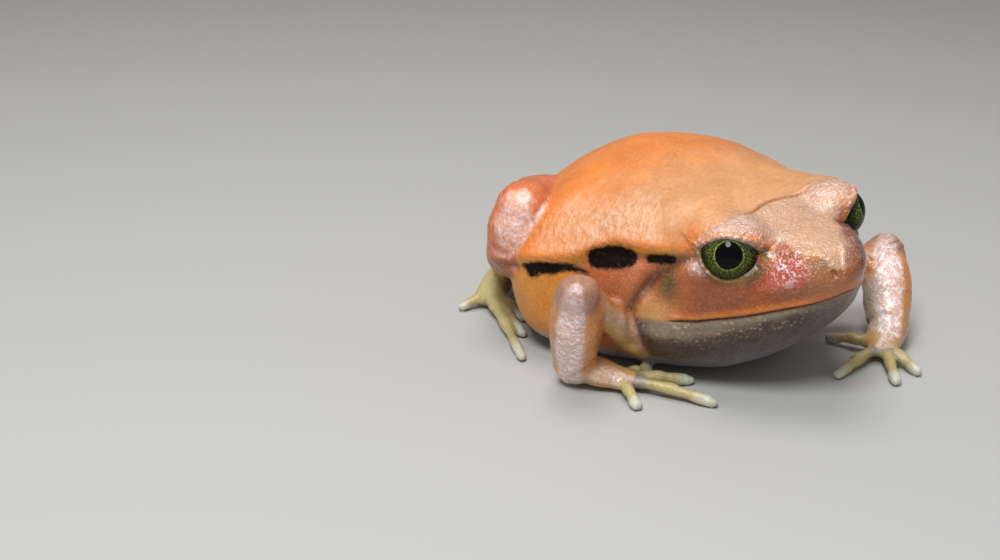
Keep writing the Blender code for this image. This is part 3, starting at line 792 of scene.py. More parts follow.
ORANGE = tint(216, 124, 52)
BRIGHT_ORANGE = tint(226, 126, 40)
ROSY_BEIGE = tint(212, 150, 98)
HEAD_ROSE = tint(200, 154, 120)
BROW_PINK = tint(206, 162, 138)
FLANK_YELLOW = tint(208, 130, 30)
SHOULDER_ORANGE = tint(178, 90, 34)
CHEEK_RED = tint(180, 82, 54)
CHEEK_BROWN = tint(138, 64, 18)
CHEEK_HIGHLIGHT_PINK = tint(206, 160, 140)
SNOUT_BROWN = tint(168, 100, 56)
SNOUT_OLIVE = tint(156, 124, 84)
RECESS_SHADE = tint(112, 40, 16)
LIP_ORANGE = tint(190, 106, 30)
LIP_GREY = tint(128, 112, 92)
THROAT_SHADE = tint(64, 40, 30)
BELLY = tint(150, 144, 150)
GROOVE_SHADE_BROWN = tint(92, 44, 14)
CANTHUS_SHADE_BROWN = tint(150, 78, 26)
CREASE_SHADOW_BROWN = tint(146, 84, 30)
OLIVE = tint(92, 76, 34)
JAW_YELLOW = tint(192, 148, 84)
FOLD_YELLOW = tint(222, 150, 34)
ARM_TAN = tint(204, 130, 68)
ARM_YELLOW = tint(184, 134, 84)
DIGIT = tint(182, 166, 112)
DIGIT_TIP = tint(200, 206, 196)
LEG_ORANGE = tint(206, 106, 56)
LEG_SHADE_BROWN = tint(120, 68, 34)
LILAC = tint(150, 138, 146)
ELBOW_MAUVE = tint(150, 112, 100)
ARM_HIGHLIGHT_MAUVE = tint(232, 202, 192)
ARM_OLIVE = tint(188, 142, 58)
KNEE_HIGHLIGHT_PINK = tint(222, 170, 148)
LID_DARK = tint(62, 46, 20)
LID_YELLOW = tint(126, 100, 24)
LID_OLIVE = tint(98, 64, 18)

print("orange of the back in linear light:", ORANGE.round(3))

# %% Blotches and wet places
# Which way the painted highlights of the arms and the knees, and the painted sheen of the back, face.
ARM_WAY = np.array((-0.63, -0.6, 0.5))
LEG_WAY = np.array((-0.765, -0.495, 0.412))
BACK_WAY = np.array((-0.62, -0.5, 0.6))
BASE_WET = 0.25
BASE_GRAIN = 0.3
CHEEK_HIGHLIGHT_PATCH = ((17.4, -22.6, 27.0), (2.0, 2.4, 1.3))
RED_CHEEK = ((8.6, -34.8, 27.9), (2.6, 2.9, 2.6))

# Chains of discs: distance from the middle, y, z, radius.
BLOTCHES = (
    ((32.2, 8.8, 17.8, 0.3), (31.8, 6.2, 18.3, 0.95), (31.1, 3.9, 18.8, 1.15), (29.9, 1.8, 19.1, 1.0),
     (28.9, -0.2, 19.7, 0.75), (28.0, -2.6, 20.0, 0.5), (27.3, -4.4, 19.9, 0.3)),
    ((32.4, 6.4, 17.2, 0.4), (32.1, 5.3, 17.2, 0.55), (31.7, 4.3, 17.5, 0.4)),
    ((25.7, -5.4, 22.6, 1.8), (24.1, -7.8, 23.2, 2.1), (22.6, -10.2, 23.6, 1.75)),
    ((20.3, -13.8, 24.4, 0.85), (18.5, -17.0, 25.8, 0.85)),
)
DISCS = 30


def inside_blotches(level, normals):
    """Largest of radius minus distance over the chains of discs: above 0 within a blotch, in mm."""
    best = np.full(len(level), -9.0)
    for disc in np.concatenate([curve(chain, DISCS) for chain in BLOTCHES]):
        best = np.maximum(best, disc[3] - along_skin(level - disc[:3], normals))
    return best

# %% What the painter measures
place = read(skin.data)
level = mirrored(place)
normals = mirrored_normals(skin.data, place)
facing = points_of(skin.data, "normal")
across, y, z = level.T
_, over_fold = side_fold(level)
_, behind_crease, crease_zone = head_crease(level)
_, over_mouth, mouth_zone = mouth_line(level)
groove_gap = gap_to(level, normals, curve(GROOVE))
rim = past_rim(*eye_plane(level))
blotch = inside_blotches(level, normals)
soft = 0.6 * ripple(place, 5.0, 21)
tone = np.tile(FLANK_YELLOW, (len(place), 1))


def lay(colour, share):
    """One layer of paint: the tone moves towards the colour by the share."""
    global tone
    tone = tone + (colour - tone) * np.clip(share, 0, 1)[:, None]


def patch(centre, sizes):
    """A soft round of paint, exp(-d^2) of the distance in shares of the sizes."""
    return bell(away(level, centre, sizes), 0, 1.0)


print("points within a blotch:", int((blotch > 0).sum()))

# %% Paint the trunk
def paint_trunk():
    """Ground, back, head and underside, with painted shade behind the arm, under the side fold and low on the
    trunk by the floor.
    """
    back = step(over_fold, -0.4, 0.5)
    lay(ORANGE, back)
    lay(BRIGHT_ORANGE, 0.7 * back * step(y + soft, -2, 12))
    lay(ROSY_BEIGE, 0.9 * back * step(y + 3 * soft, 6, -12) * step(over_fold, 0.5, 5.0))
    lay(HEAD_ROSE, 0.45 * step(behind_crease, 6.0, 0.0) * step(z, 29, 33))
    lay(SHOULDER_ORANGE, step(over_fold, 0, -1.5) * step(y, 0, -5) * step(z, 5, 10))
    # Painted shade on the flank behind the arm.
    lay(GROOVE_SHADE_BROWN, 0.6 * patch((25.6, -11.0, 15.0), (3.2, 3.6, 5.0)))
    lay(FOLD_YELLOW, 0.85 * bell(over_fold, 0.2, 0.6) * step(y, -20, -16) * step(y, 16, 8))
    # Painted shade under the overhang of the side fold.
    lay(GROOVE_SHADE_BROWN, 0.6 * bell(over_fold, -0.9, 0.7) * step(y, -23, -18) * step(y, 2, -2))
    lay(HEAD_ROSE, step(behind_crease, 0.1, -0.5) * step(z, 24, 27))
    # Painted shade low on the trunk, by the floor.
    lay(LEG_SHADE_BROWN, 0.5 * step(z, 3.5, 1.0) * step(y, -10, 0))
    lay(BELLY, step(facing[:, 2], -0.25, -0.7) * step(z, 7, 3))

# %% Paint the face
def paint_face():
    """Cheek, lips, throat, groove, brows and the patches behind the eye. The throat, groove, crease, mouth
    line, the side under the canthus, the left eye's corner and the snout's far side get painted shade, and
    the cheek behind the eye a painted highlight.
    """
    ridge = smooth(CANTHUS[::-1, 1], CANTHUS[::-1, 2], y)
    snout = step(y, -19, -24) * step(over_mouth, 0.0, 0.8)
    cheek = snout * step(z + 0.25 * soft, ridge + 0.2, ridge - 0.5)
    tip = step(y + 0.4 * soft, -36.5, -39.0)
    lay(CHEEK_BROWN, cheek)
    lay(SNOUT_BROWN, cheek * tip)
    front = cheek * (1 - tip) * step(y + 0.5 * soft, -30.8, -33.0)
    lay(CHEEK_RED, front * step(over_mouth + 0.4 * soft, 3.2, 5.0))
    # A painted highlight on the cheek behind the eye.
    lay(CHEEK_HIGHLIGHT_PINK, 0.8 * patch(*CHEEK_HIGHLIGHT_PATCH))
    lay(SNOUT_OLIVE, 0.8 * patch((4.9, -38.1, 28.5), (1.7, 1.9, 1.3)))
    # Painted shade: the front of the snout's far, left side gets a darker, shaded copy of its browns.
    far_side = step(straightened(place)[:, 0] - np.interp(z, (25.8, 28.8, 30.7), (-1.9, -1.2, 1.0)), 0.1, 0.8)
    far_side = 0.9 * far_side * step(y, -37, -39) * step(over_mouth, 0.0, 1.0) * step(z, 31, 29.5)
    lay(SNOUT_BROWN * 0.55 + CHEEK_RED * 0.15, far_side)
    # Painted shade under the overhanging ridge from the eye to the nostril.
    shade_under_ridge = gap_to(level, normals, curve(CANTHUS) - (0, 0, 0.8))
    lay(CANTHUS_SHADE_BROWN, 0.9 * bell(shade_under_ridge, 0, 0.75) * step(y, -37.0, -34.0))
    for spot in ((5.6, -35.9, 30.0), (4.6, -36.9, 29.9)):
        lay(JAW_YELLOW * 1.15, 0.7 * bell(away(level, spot), 0, 0.8))
    lay(OLIVE, patch((19.8, -17.8, 22.4), (2.8, 2.2, 4.4)) * step(over_mouth, 1, 3))
    lay(JAW_YELLOW, 0.85 * bell(away(level, (21.6, -16.4, 14.8)), 0, 3.6))
    lay(LIP_ORANGE, 0.85 * mouth_zone * bell(over_mouth, 0.7, 0.75))
    lip_depth = np.interp(y, (-41, -21), (0.8, 3.4))
    # Painted shade: the throat is painted dark brown, as it lies in shadow.
    lay(THROAT_SHADE, step(y, -12, -15) * step(over_mouth, -0.2, -0.8) * step(z, 0, 1))
    lip = step(over_mouth, 0.0, -0.3) * step(over_mouth + lip_depth + 0.5 * soft, -1.0, 1.0)
    lay(LIP_GREY, step(y, -14, -17) * lip)
    # Painted shade: the belly's colour, darkened, under the throat.
    lay(BELLY * 0.6, step(y, -9, -12) * step(over_mouth + lip_depth, -4, -9))
    # Painted shade along the groove from the eye over the jaw to the arm.
    lay(GROOVE_SHADE_BROWN, 0.9 * step(z, 29.5, 26.5) * bell(groove_gap, 0, 0.7))
    # Painted shadow in the crease, under the lip of the back.
    lay(CREASE_SHADOW_BROWN, 0.85 * crease_zone * bell(behind_crease, -0.12, 0.24))
    # Painted shade in the mouth line.
    lay(GROOVE_SHADE_BROWN * 0.6, mouth_zone * bell(over_mouth, 0.0, 0.14))
    lay(BROW_PINK, 0.8 * brow)
    lay(BRIGHT_ORANGE, 0.8 * patch((16.2, -20.6, 31.4), (1.6, 2.4, 2.2)))
    lay(ORANGE, 0.6 * patch((9.6, -29.8, 32.6), (1.6, 2.0, 1.6)))
    lay(LID_YELLOW, 0.8 * by_eye * bell(rim, 0.45, 0.4) * (1 - 0.75 * step(z, 29, 31)))
    upper_lid = step(up_eye, 0.0, 1.5) * step(eye_reach, EYE_RADIUS + 3.5, EYE_RADIUS + 2.0)
    lay(BRIGHT_ORANGE, 0.7 * bell(rim, 0.95, 0.5) * upper_lid)
    # Painted shade in the deep corner in front of the left eye.
    left_corner = step(along_eye, 3.0, 4.5) * step(up_eye, -3.0, -1.0) * step(place[:, 0], 0, 4)
    lay(RECESS_SHADE, 0.9 * step(rim, 1.7, 0.7) * left_corner)
    lay(LID_OLIVE, 0.9 * by_eye * step(rim, 1.6, 0.9) * step(along_eye, 2.2, 3.8) * step(up_eye, -0.6, -1.4))
    lay(LID_DARK, 0.9 * by_eye * step(rim, 0.30, 0.12))
    bead = eye_bead(level)
    lay(SHOULDER_ORANGE, 0.8 * step(bead, 2.0, 1.3))
    lay(LID_YELLOW * 1.1, step(bead, 1.1, 0.9))
    lay(LID_DARK, 0.9 * step(bead, 0.75, 0.45))

# %% Paint the limbs
def paint_limbs():
    """Tan arms, orange legs, pale digits with white tips and bluish undersides, with painted shade under the
    legs and painted highlights on the arms and knees. Gives back the share of damp limb, the share of digit,
    and the stripes of painted highlight."""
    arm_gap, arm_part, arm_way, arm_ahead = nearest_limb(place, ("forearm",))
    arm = step(arm_gap, 0.9, 0.1)
    upper_gap, _, upper_way, upper_ahead = nearest_limb(place, ("upper_arm",))
    upper = step(upper_gap, 0.7, 0.1) * (1 - arm)
    hand_gap, _, hand_way, hand_ahead = nearest_limb(place, ("hand",))
    hand = step(hand_gap, 0.8, 0.1) * (1 - arm)
    leg = step(nearest_limb(place, ("thigh", "shank"))[0], 0.9, 0.1)
    foot = step(nearest_limb(place, ("foot",))[0], 0.8, 0.1) * (1 - leg)
    digit_gap, digit_part = nearest_limb(place, ("finger", "toe"))[:2]
    digit = step(digit_gap, 0.6, 0.1)
    lay(ARM_YELLOW, upper)
    lay(SHOULDER_ORANGE, 0.5 * upper * step(upper_way[:, 2], 0.1, 0.7))
    lay(FOLD_YELLOW * 0.4 + DIGIT * 0.6, 0.8 * upper * step(upper_way[:, 2], -0.2, -0.7))
    lay(ARM_TAN, arm)
    outward = arm_way[:, 0] * np.sign(place[:, 0])
    lay(ARM_OLIVE, 0.8 * arm * step(arm_part, 0.35, 0.9) * step(-outward, 0.5, -0.6))
    lay(ELBOW_MAUVE, 0.8 * arm * step(arm_part, 0.20, 0.04))
    lay(ARM_TAN * 0.5 + DIGIT * 0.5, hand)
    for _, side, _, wrist, _, _ in ARMS:
        lay(LILAC, 0.8 * bell(away(place, wrist + (side * 0.8, -2.4, -1.6)), 0, 2.0))
    lay(LEG_ORANGE, leg)
    # Painted shade on the undersides of the legs.
    lay(LEG_SHADE_BROWN, 0.7 * leg * step(facing[:, 2], -0.1, -0.6))
    lay(DIGIT, foot)
    lay(DIGIT, digit * step(digit_part, 0.1, 0.4))
    lay(DIGIT_TIP, 0.7 * digit * step(digit_part, 0.74, 0.95))
    low = np.clip(arm + hand + foot + digit * 0.6, 0, 1)
    lay(DIGIT_TIP * 0.85, 0.7 * low * step(arm_way[:, 2], -0.5, -0.95) * step(facing[:, 2], -0.5, -0.9))
    # Pale inner skin with a painted highlight, on the left forearm only.
    inner_side_highlight = arm * step(place[:, 0], 10, 15) * step(arm_way[:, 0], -0.66, -0.9) * step(arm_part, 0.3, 0.5)
    lay(DIGIT_TIP, 0.6 * inner_side_highlight)
    parts = (
        (arm, arm_way, arm_ahead),
        (0.4 * hand, hand_way, hand_ahead),
        (0.25 * upper, upper_way, upper_ahead),
    )
    # Painted highlights: a pale stripe down each arm and each knee, on the side that faces the light.
    lit_band = np.zeros(len(place))
    for share, way, ahead in parts:
        lit_band = np.maximum(lit_band, share * step(round_axis(way, ahead, ARM_WAY) + 0.05 * soft, 0.74, 0.93))
    lit_band = lit_band * (1 - 0.6 * arm * step(arm_part, 0.14, 0.02))
    pale = leg * step(facing @ LEG_WAY + 0.05 * soft, 0.72, 0.97) * step(z, 9, 14)
    lay(ARM_HIGHLIGHT_MAUVE, 0.75 * lit_band)
    lay(KNEE_HIGHLIGHT_PINK, 0.7 * pale)
    damp = arm * (1 - 0.5 * step(arm_part, 0.2, 0.05)) + hand + 0.45 * leg + 0.5 * upper
    return np.clip(damp, 0, 1), digit, np.maximum(lit_band, 0.8 * pale)


along_eye, up_eye, eye_reach = eye_plane(level)
by_eye = step(eye_reach, EYE_RADIUS + 2.4, EYE_RADIUS + 1.4)
brow = step(eye_reach, EYE_RADIUS + 4.0, EYE_RADIUS + 1.5) * step(z, 29, 31) * step(behind_crease, 0.4, -0.4)
paint_trunk()
paint_face()
limb_share, digit_share, film = paint_limbs()
head = step(behind_crease, 0.2, -0.6) * step(z, 22, 26)
cheek_share = step(y, -19, -26) * step(over_mouth, 0.0, 1.5)
under_lid = step(rim, 2.2, 1.2) * step(along_eye, 1.0, 2.5) * step(up_eye, -0.4, -1.2)
under_lid = under_lid * step(eye_reach, EYE_RADIUS + 3.0, EYE_RADIUS + 2.0)
on_rim = step(np.abs(rim), 0.5, 0.2) * by_eye
upright = step(facing[:, 2], 0.3, 0.8)

# %% The shares that the material reads at each point
def most(*shares):
    """The largest of several shares at each point."""
    return reduce(np.maximum, shares)


wet = most(BASE_WET, limb_share, 0.7 * head, cheek_share * (1 - under_lid))
grain = most(BASE_GRAIN, limb_share, 1.1 * head, cheek_share, 1.8 * brow)
grain = grain * (1 - 0.8 * under_lid) * (1 - 0.7 * digit_share) * (1 - 0.6 * on_rim)
# Painted glints: white specks in the colour where the beads of the skin face the light, on the limbs, cheeks,
# head and brows.
film = most(film, 1.1 * patch(*RED_CHEEK), patch(*CHEEK_HIGHLIGHT_PATCH), 0.22 * head * upright, 0.42 * brow)
crinkle = step(over_fold, 0.3, 1.5) * step(over_fold, 13, 7) * step(across, 12, 17)
crinkle = crinkle * step(y, -17, -12) * step(y, 30, 24)
# Painted sheen: the back is lightened where it faces the light.
sheen = step(facing @ BACK_WAY, 0.85, 0.99) * step(over_fold, 1.0, 3.0) * step(y, -20, -14) * (1 - limb_share)
granule = step(y, -13, -16) * step(over_mouth, -0.3, -0.6) * step(over_mouth, -5.5, -3.0)


def store(mesh, name, values, kind="FLOAT"):
    """Writes one number, vector or colour for each point."""
    field = {"FLOAT": "value", "FLOAT_VECTOR": "vector", "FLOAT_COLOR": "color"}[kind]
    layer = mesh.attributes.new(name, kind, "POINT")
    layer.data.foreach_set(field, values.astype(np.float32).ravel())


SHARES = {"blotch": blotch, "wet": wet, "grain": grain, "film": film, "crinkle": crinkle,
          "granule": granule, "sheen": sheen, "limb": limb_share}
store(skin.data, "tone", np.column_stack([tone, np.ones(len(tone))]), "FLOAT_COLOR")
for name, values in SHARES.items():
    store(skin.data, name, values)
skin.data.shade_smooth()
print("painted points:", len(tone))

# %% [markdown]
# Damp frog skin is never one flat colour: it is stippled with tiny glands, mottled by blood and pigment, and
# its coat of mucus breaks the light into sparkles; these sparkles are also painted into the colour as white
# glints, and a pale sheen is painted on the back. Two small node groups make these effects, and the skin's
# material places them with its own values. So that the sums of a material read as sums, each socket is
# wrapped in a signal, which adds and multiplies by making Math nodes.

# %% Signals
class Signal:
    """A socket that adds, subtracts, multiplies and divides as a number does, with one Math node for each."""

    def __init__(self, socket):
        self.socket = socket
        self.tree = socket.id_data

    def maths(self, operation, first, second):
        return wire(self.tree, "ShaderNodeMath", 0, {0: first, 1: second}, operation=operation)

    def __add__(self, other):
        return self.maths("ADD", self, other)

    def __sub__(self, other):
        return self.maths("SUBTRACT", self, other)

    def __mul__(self, other):
        return self.maths("MULTIPLY", self, other)

    def __rtruediv__(self, other):
        return self.maths("DIVIDE", other, self)


def feed(socket, value):
    """Links a signal to a socket, or writes a number, a vector or a colour into it."""
    if isinstance(value, Signal):
        value.tree.links.new(value.socket, socket)
    elif np.ndim(value) == 0:
        socket.default_value = value
    else:
        socket.default_value = (*value, 1.0)[:len(socket.default_value)]


def wire(tree, kind, output, inputs=None, **settings):
    """The signal from one output of a new node, once its settings are made and its inputs are fed."""
    node = tree.nodes.new(kind)
    for key, value in settings.items():
        setattr(node, key, value)
    for key, value in (inputs or {}).items():
        feed(node.inputs[key], value)
    return Signal(node.outputs[output])


def ramp(value, low, high, to_low=0.0, to_high=1.0):
    """A clamped, smooth Map Range."""
    limits = {"Value": value, "From Min": low, "From Max": high, "To Min": to_low, "To Max": to_high}
    return wire(value.tree, "ShaderNodeMapRange", "Result", limits, interpolation_type="SMOOTHSTEP")


def blend(share, first, second, mode="MIX"):
    """A colour Mix node with each input a signal, a number or a colour."""
    inputs = {"Factor": share, "A": first, "B": second}
    tree = next(value.tree for value in inputs.values() if isinstance(value, Signal))
    return wire(tree, "ShaderNodeMix", "Result", inputs, data_type="RGBA", blend_type=mode)


def noise(where, per_metre, detail=2.0, roughness=0.5):
    """Perlin noise; per_metre is a signal or a number."""
    inputs = {"Vector": where, "Scale": per_metre, "Detail": detail, "Roughness": roughness}
    return wire(where.tree, "ShaderNodeTexNoise", "Fac", inputs)


def attribute(tree, name, output="Fac"):
    return wire(tree, "ShaderNodeAttribute", output, attribute_name=name)

# %% Node groups
GLANDS_PER_METRE = 1900.0
FINE_BEADS = 1400.0
BOLD_BEADS = 1050.0
LIGHT_WAY = (-0.45, -0.62, 0.64)


def new_group(name, inputs, outputs):
    """A shader group with named sockets, a signal from each input, and the sockets of its output node."""
    group = bpy.data.node_groups.new(name, "ShaderNodeTree")
    for label, (kind, value) in inputs.items():
        socket = group.interface.new_socket(name=label, in_out="INPUT", socket_type="NodeSocket" + kind)
        if value is not None:
            socket.default_value = value
    for label, kind in outputs.items():
        group.interface.new_socket(name=label, in_out="OUTPUT", socket_type="NodeSocket" + kind)
    source = group.nodes.new("NodeGroupInput").outputs
    return group, [Signal(source[label]) for label in inputs], group.nodes.new("NodeGroupOutput").inputs


def grain_group():
    """Glands: domes over Voronoi cells, with a finer and a coarser noise added to the height. Facing is high
    where beads fall away towards the light: their value here, less that a fifth of a bead nearer it. The
    material paints highlights there."""
    inputs = {"Where": ("Vector", None), "Strength": ("Float", 1.0), "Beads": ("Float", FINE_BEADS)}
    outputs = {"Height": "Float", "Dome": "Float", "Facing": "Float"}
    group, (where, strength, per_metre), target = new_group("skin grain", inputs, outputs)
    cells = {"Vector": where, "Scale": GLANDS_PER_METRE, "Smoothness": 0.4}
    dome = ramp(wire(group, "ShaderNodeTexVoronoi", "Distance", cells, feature="SMOOTH_F1"), 0.55, 0.05)
    beads = noise(where, per_metre, 1.5)
    nudge = {0: LIGHT_WAY, "Scale": 0.22 / per_metre}
    nudge = wire(group, "ShaderNodeVectorMath", 0, nudge, operation="SCALE")
    nearer = wire(group, "ShaderNodeVectorMath", 0, {0: nudge, 1: where}, operation="ADD")
    drop = beads - noise(nearer, per_metre, 1.5)
    height = dome * 0.55 + noise(where, 3400.0, 3.0, 0.6) * 0.07
    height = height + (noise(where, 700.0, 1.5) * 0.9 + beads * 0.6)
    feed(target["Height"], height * strength)
    feed(target["Dome"], dome)
    feed(target["Facing"], ramp(drop, -0.02, 0.09))
    return group


def mottle_group():
    """Mottling: a broad and a fine noise lighten and darken a colour by at most the given amount."""
    inputs = {"Where": ("Vector", None), "Colour": ("Color", (1, 1, 1, 1)), "Amount": ("Float", 0.2)}
    group, (where, colour, amount), target = new_group("skin mottle", inputs, {"Colour": "Color"})
    mixed = noise(where, 130.0, 4.0, 0.6) * 0.55 + noise(where, 1500.0, 3.0, 0.65) * 0.45
    factor = (ramp(mixed, 0.3, 0.7) - 0.5) * amount + 1.0
    grey = wire(group, "ShaderNodeCombineColor", 0, {0: factor, 1: factor, 2: factor})
    feed(target["Colour"], blend(1.0, colour, grey, "MULTIPLY"))
    return group


def place_group(tree, group, **values):
    """The group placed in a material with its own values, as a signal for each of its outputs."""
    node = tree.nodes.new("ShaderNodeGroup")
    node.node_tree = group
    for label, value in values.items():
        feed(node.inputs[label], value)
    return {socket.name: Signal(socket) for socket in node.outputs}


GRAIN = grain_group()
MOTTLE = mottle_group()
print("node groups:", GRAIN.name, "and", MOTTLE.name)

# %% The skin's material
GLAND_LIGHT = tint(255, 214, 170)
BLOTCH_RUST = tint(110, 54, 16)
BLOTCH_BLACK = tint(18, 14, 12)
BLOTCH_GREY = tint(66, 58, 44)
GRANULE_CREAM = tint(206, 180, 138)
GLINT_WHITE = tint(242, 232, 240)
SHEEN_CREAM = tint(255, 226, 200)
GRAIN_DEPTH = 0.00013


def new_material(name, values):
    """A material with some sockets of its shader set: the material, its tree and the shader's sockets."""
    mat = bpy.data.materials.new(name)
    mat.use_nodes = True
    sockets = mat.node_tree.nodes["Principled BSDF"].inputs
    for label, value in values.items():
        feed(sockets[label], value)
    return mat, mat.node_tree, sockets


def skin_material():
    """Colours from the ground up: mottle, glands, the blotches' rust, granules, painted glints, painted sheen
    and the black.
    """
    mat, tree, shader = new_material("damp frog skin", {
        "Coat Roughness": 0.3, "Coat IOR": 1.4, "Specular IOR Level": 0.6, "Subsurface Weight": 0.10,
        "Subsurface Radius": (1.0, 0.35, 0.15), "Subsurface Scale": 0.0012})
    where = wire(tree, "ShaderNodeTexCoord", "Object")
    limb, damp = attribute(tree, "limb"), attribute(tree, "wet")
    edge = attribute(tree, "blotch") + (noise(where, 900.0, 4.0, 0.7) - 0.5) * 1.2
    inside = ramp(edge, -0.35, 0.35)
    base = place_group(tree, MOTTLE, Where=where, Colour=attribute(tree, "tone", "Color"), Amount=0.36)
    small = place_group(tree, GRAIN, Where=where, Strength=1.0)
    bold = place_group(tree, GRAIN, Where=where, Strength=1.0, Beads=BOLD_BEADS)
    colour = blend(small["Dome"] * 0.10, base["Colour"], GLAND_LIGHT, "SCREEN")
    colour = blend(ramp(edge, -0.75, 0.1) * 0.6, colour, BLOTCH_RUST)
    warts = wire(tree, "ShaderNodeTexVoronoi", "Distance", {"Vector": where, "Scale": 1050.0})
    dots = ramp(warts, 0.45, 0.12) * attribute(tree, "granule")
    dots = dots * ramp(noise(where, 420.0), 0.38, 0.62, 0.15, 1.0)
    colour = blend(dots * 0.45, colour, GRANULE_CREAM)
    # Painted glints: the colour turns white where the beads face the light.
    painted_glints = blend(limb, small["Facing"], bold["Facing"]) * attribute(tree, "film")
    colour = blend(painted_glints * (limb * 0.22 + 0.7), colour, GLINT_WHITE)
    upright = wire(tree, "ShaderNodeMapping", 0, {"Vector": where, "Scale": (1.0, 1.0, 0.32)})
    creases = noise(upright, 1000.0, 2.0)
    # Painted sheen: pale streaks on the back where it faces the light.
    streaks = ramp(creases * 0.7 + noise(where, 60.0) * 0.3, 0.40, 0.62, 0.35, 1.0) * attribute(tree, "sheen")
    colour = blend(streaks * 0.34, colour, SHEEN_CREAM)
    black = blend(ramp(noise(where, 1300.0, 3.0, 0.7), 0.5, 0.75), BLOTCH_BLACK, BLOTCH_GREY)
    feed(shader["Base Color"], blend(inside * 0.97, colour, black))
    rough = ramp(damp, 0.2, 1.0, 0.44, 0.20) + noise(where, 700.0) * 0.14 + inside * 0.35 - painted_glints * 0.10
    feed(shader["Roughness"], rough)
    film = ramp(noise(where, 260.0, 3.0), 0.35, 0.6, 0.4, 1.0) * ramp(damp, 0.2, 1.0, 0.4, 0.5)
    feed(shader["Coat Weight"], film * ramp(inside, 0.0, 1.0, 1.0, 0.2))
    feed(shader["Metallic"], inside * 0.9)
    relief = blend(limb, small["Height"], bold["Height"]) * attribute(tree, "grain")
    relief = relief + creases * (attribute(tree, "crinkle") * 4.0)
    bump = {"Strength": 1.0, "Distance": GRAIN_DEPTH, "Height": relief}
    feed(shader["Normal"], wire(tree, "ShaderNodeBump", "Normal", bump))
    return mat


skin.data.materials.append(skin_material())
print("skin material:", skin.data.materials[0].name)

# %% [markdown]
# The eye is a wet ball whose front stands out a little as the cornea does. Its net has its pole on the
# gaze, so the angle from the gaze gives pupil, bright inner ring, olive iris and dark rim, and a flat
# map of that angle carries the fine black netting of the iris.

# %% Eyes
PUPIL_ANGLE = math.radians(26.5)
PUPIL_DIP = 0.07
CORNEA = 0.035
CORNEA_WIDTH = 0.6
EYE_RINGS = 120
EYE_SPOKES = 144
PUPIL_BLACK = (0.002, 0.002, 0.003)
IRIS_DARK = tint(60, 70, 22)
IRIS_OLIVE = tint(132, 144, 62)
IRIS_NET = tint(20, 24, 8)
IRIS_RIM = tint(22, 28, 8)
IRIS_RING = tint(176, 190, 92)
IRIS_SHADE = tint(38, 46, 40)


def eyeball(name, side):
    """r = R (1 + c exp(-(t / w)^2)) over the angle t from the gaze and the turn round it."""
    tilt = np.linspace(0, math.pi, EYE_RINGS + 2)[1:-1, None]
    turn = np.linspace(0, 2 * math.pi, EYE_SPOKES, endpoint=False)[None, :]
    reach = EYE_RADIUS * (1 + CORNEA * np.exp(-((tilt / CORNEA_WIDTH) ** 2)))
    direction = (
        np.cos(tilt)[..., None] * GAZE
        + (np.sin(tilt) * np.cos(turn))[..., None] * FORWARD
        + (np.sin(tilt) * np.sin(turn))[..., None] * OVER
    )
    obj = new_object(name, *closed_skin(rolled((EYE_CENTRE + reach[..., None] * direction) * (side, 1, 1))))
    from_below = np.angle(np.exp(1j * (turn + math.pi / 2)))
    dip = 1 + PUPIL_DIP * np.exp(-((from_below / 0.4) ** 2))
    flat = np.stack([tilt * np.cos(turn), tilt * np.sin(turn), 0 * tilt * turn], axis=2).reshape(-1, 3)
    flat = np.concatenate([[(0.0, 0.0, 0.0)], flat, [(math.pi, 0.0, 0.0)]])
    store(obj.data, "angle", np.concatenate([[0.0], (tilt * np.ones_like(turn)).ravel(), [math.pi]]))
    store(obj.data, "pupil", np.concatenate([[0.0], (tilt / (PUPIL_ANGLE * dip)).ravel(), [9.0]]))
    store(obj.data, "iris_map", flat, "FLOAT_VECTOR")
    obj.data.shade_smooth()
    return obj


def eye_material():
    """Olive flecks under a black net, a dark rim, a bright ring round the pupil, shade under the lid."""
    mat, tree, shader = new_material("wet eye", {
        "Roughness": 0.25, "Specular IOR Level": 0.0, "Coat Weight": 0.8, "Coat Roughness": 0.02,
        "Coat IOR": 1.25})
    flat = attribute(tree, "iris_map", "Vector")
    pupil = attribute(tree, "pupil")
    net = {"Vector": flat, "Scale": 11.0}
    net = ramp(wire(tree, "ShaderNodeTexVoronoi", "Distance", net, feature="DISTANCE_TO_EDGE"), 0.02, 0.16)
    green = blend(ramp(noise(flat, 16.0, 4.0, 0.7), 0.42, 0.62), IRIS_DARK, IRIS_OLIVE)
    iris = blend(net * 0.85, IRIS_NET, green)
    iris = blend(ramp(attribute(tree, "angle"), 0.70, 1.10), iris, IRIS_RIM)
    ring = ramp(pupil, 1.02, 1.06) * ramp(pupil, 1.16, 1.09)
    ring = ring * ramp(noise(flat, 9.0, 3.0), 0.38, 0.62, 0.1, 0.9)
    iris = blend(ring * 0.85, iris, IRIS_RING)
    high = wire(tree, "ShaderNodeSeparateXYZ", "Y", {0: flat})
    iris = blend(ramp(high, 0.18, 0.52, 0.0, 0.6), iris, IRIS_SHADE)
    feed(shader["Base Color"], blend(ramp(pupil, 1.03, 0.97), iris, PUPIL_BLACK))
    return mat


wet_eye = eye_material()
for word, side in (("right", -1), ("left", 1)):
    ball = eyeball(word + "_eyeball", side)
    ball.data.materials.append(wet_eye)
    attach(ball, "root")
    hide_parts(word + "_eye")
    print("eye:", ball.name)

# %% Hand the skin to the frame
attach(skin, "root")
FLESH = [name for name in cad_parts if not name.endswith("_eye")]
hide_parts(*FLESH)
print("nodes under the skin:", len(FLESH))

# %% [markdown]
# A plain pale floor and soft lamps keep the eye on the frog. The lamps are large for an animal of this
# size, as a light tent would be, with a smaller and brighter one to the front for the wet sparkle.

# %% Floor, lamps and camera
FLOOR_REACH = 1.5
FLOOR_DROP = 0.02
AIM = np.array((0.0, -0.01, 0.02))
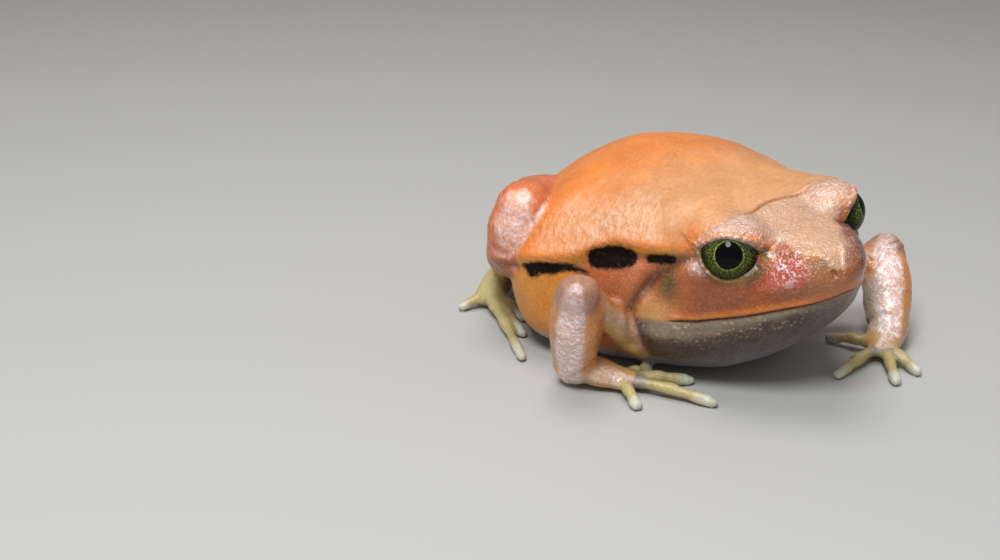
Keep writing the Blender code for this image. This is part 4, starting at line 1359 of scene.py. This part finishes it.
# Name, place in metres, width of the disc, power in watts, colour.
LAMPS = (
    ("overhead", (-0.02, 0.06, 0.62), 0.34, 1.5, (1.0, 0.99, 0.97)),
    ("sparkle", (-0.264, -0.166, 0.442), 0.19, 2.2, (0.94, 0.97, 1.0)),
)
CAMERA_PLACE = np.array((-159.86, -176.16, 103.72))
CAMERA_AZIMUTH = math.radians(-33.6)
CAMERA_HEIGHT = math.radians(21.6)
CAMERA_ROLL = math.radians(1.2)
FOCAL_LENGTH = 46.8
SENSOR_WIDTH = 36.0


def make_floor():
    corners = FLOOR_REACH * np.array(((-1, -1, 0), (1, -1, 0), (1, 1, 0), (-1, 1, 0)))
    floor = new_object("floor", corners / MM - SHIFT - (0, 0, FLOOR_DROP), np.array(((0, 1, 2, 3),)))
    pale = {"Base Color": (0.47, 0.465, 0.45), "Roughness": 0.7}
    floor.data.materials.append(new_material("pale floor", pale)[0])


def stand(obj, spot, right, up, back):
    """Places an object, with its own right, its up and its way back as the columns of its turn."""
    turn = Matrix(np.stack([right, up, back], axis=1).tolist()).to_4x4()
    obj.matrix_world = Matrix.Translation(list(spot)) @ turn


def make_lamp(name, spot, size, power, colour):
    """A disc of light that faces the frog."""
    lamp = bpy.data.lights.new(name, "AREA")
    lamp.shape = "DISK"
    lamp.size = size
    lamp.energy = power
    lamp.color = colour
    back = unit(np.array(spot) - AIM)
    side = unit(np.cross((0.0, 1.0, 0.01), back))
    stand(link(name, lamp), spot, side, np.cross(back, side), back)


def make_camera():
    """Back is the way from the subject at the given azimuth and height; right and up are rolled round it."""
    a, e, r = CAMERA_AZIMUTH, CAMERA_HEIGHT, CAMERA_ROLL
    back = np.array((math.sin(a) * math.cos(e), -math.cos(a) * math.cos(e), math.sin(e)))
    right = np.array((math.cos(a), math.sin(a), 0.0))
    up = np.cross(back, right)
    right, up = right * math.cos(r) + up * math.sin(r), up * math.cos(r) - right * math.sin(r)
    camera = bpy.data.cameras.new("camera")
    camera.lens = FOCAL_LENGTH
    camera.sensor_width = SENSOR_WIDTH
    camera.clip_start = 0.01
    obj = link("camera", camera)
    stand(obj, (CAMERA_PLACE + SHIFT) * MM, right, up, back)
    bpy.context.scene.camera = obj


make_floor()
for lamp in LAMPS:
    make_lamp(*lamp)
make_camera()
world = bpy.data.worlds.new("studio")
world.use_nodes = True
sky = world.node_tree.nodes["Background"].inputs
sky["Color"].default_value = (0.97, 0.94, 0.9, 1.0)
sky["Strength"].default_value = 0.3
bpy.context.scene.world = world
bpy.context.scene.view_settings.view_transform = "Standard"
print("camera and lamps are set")
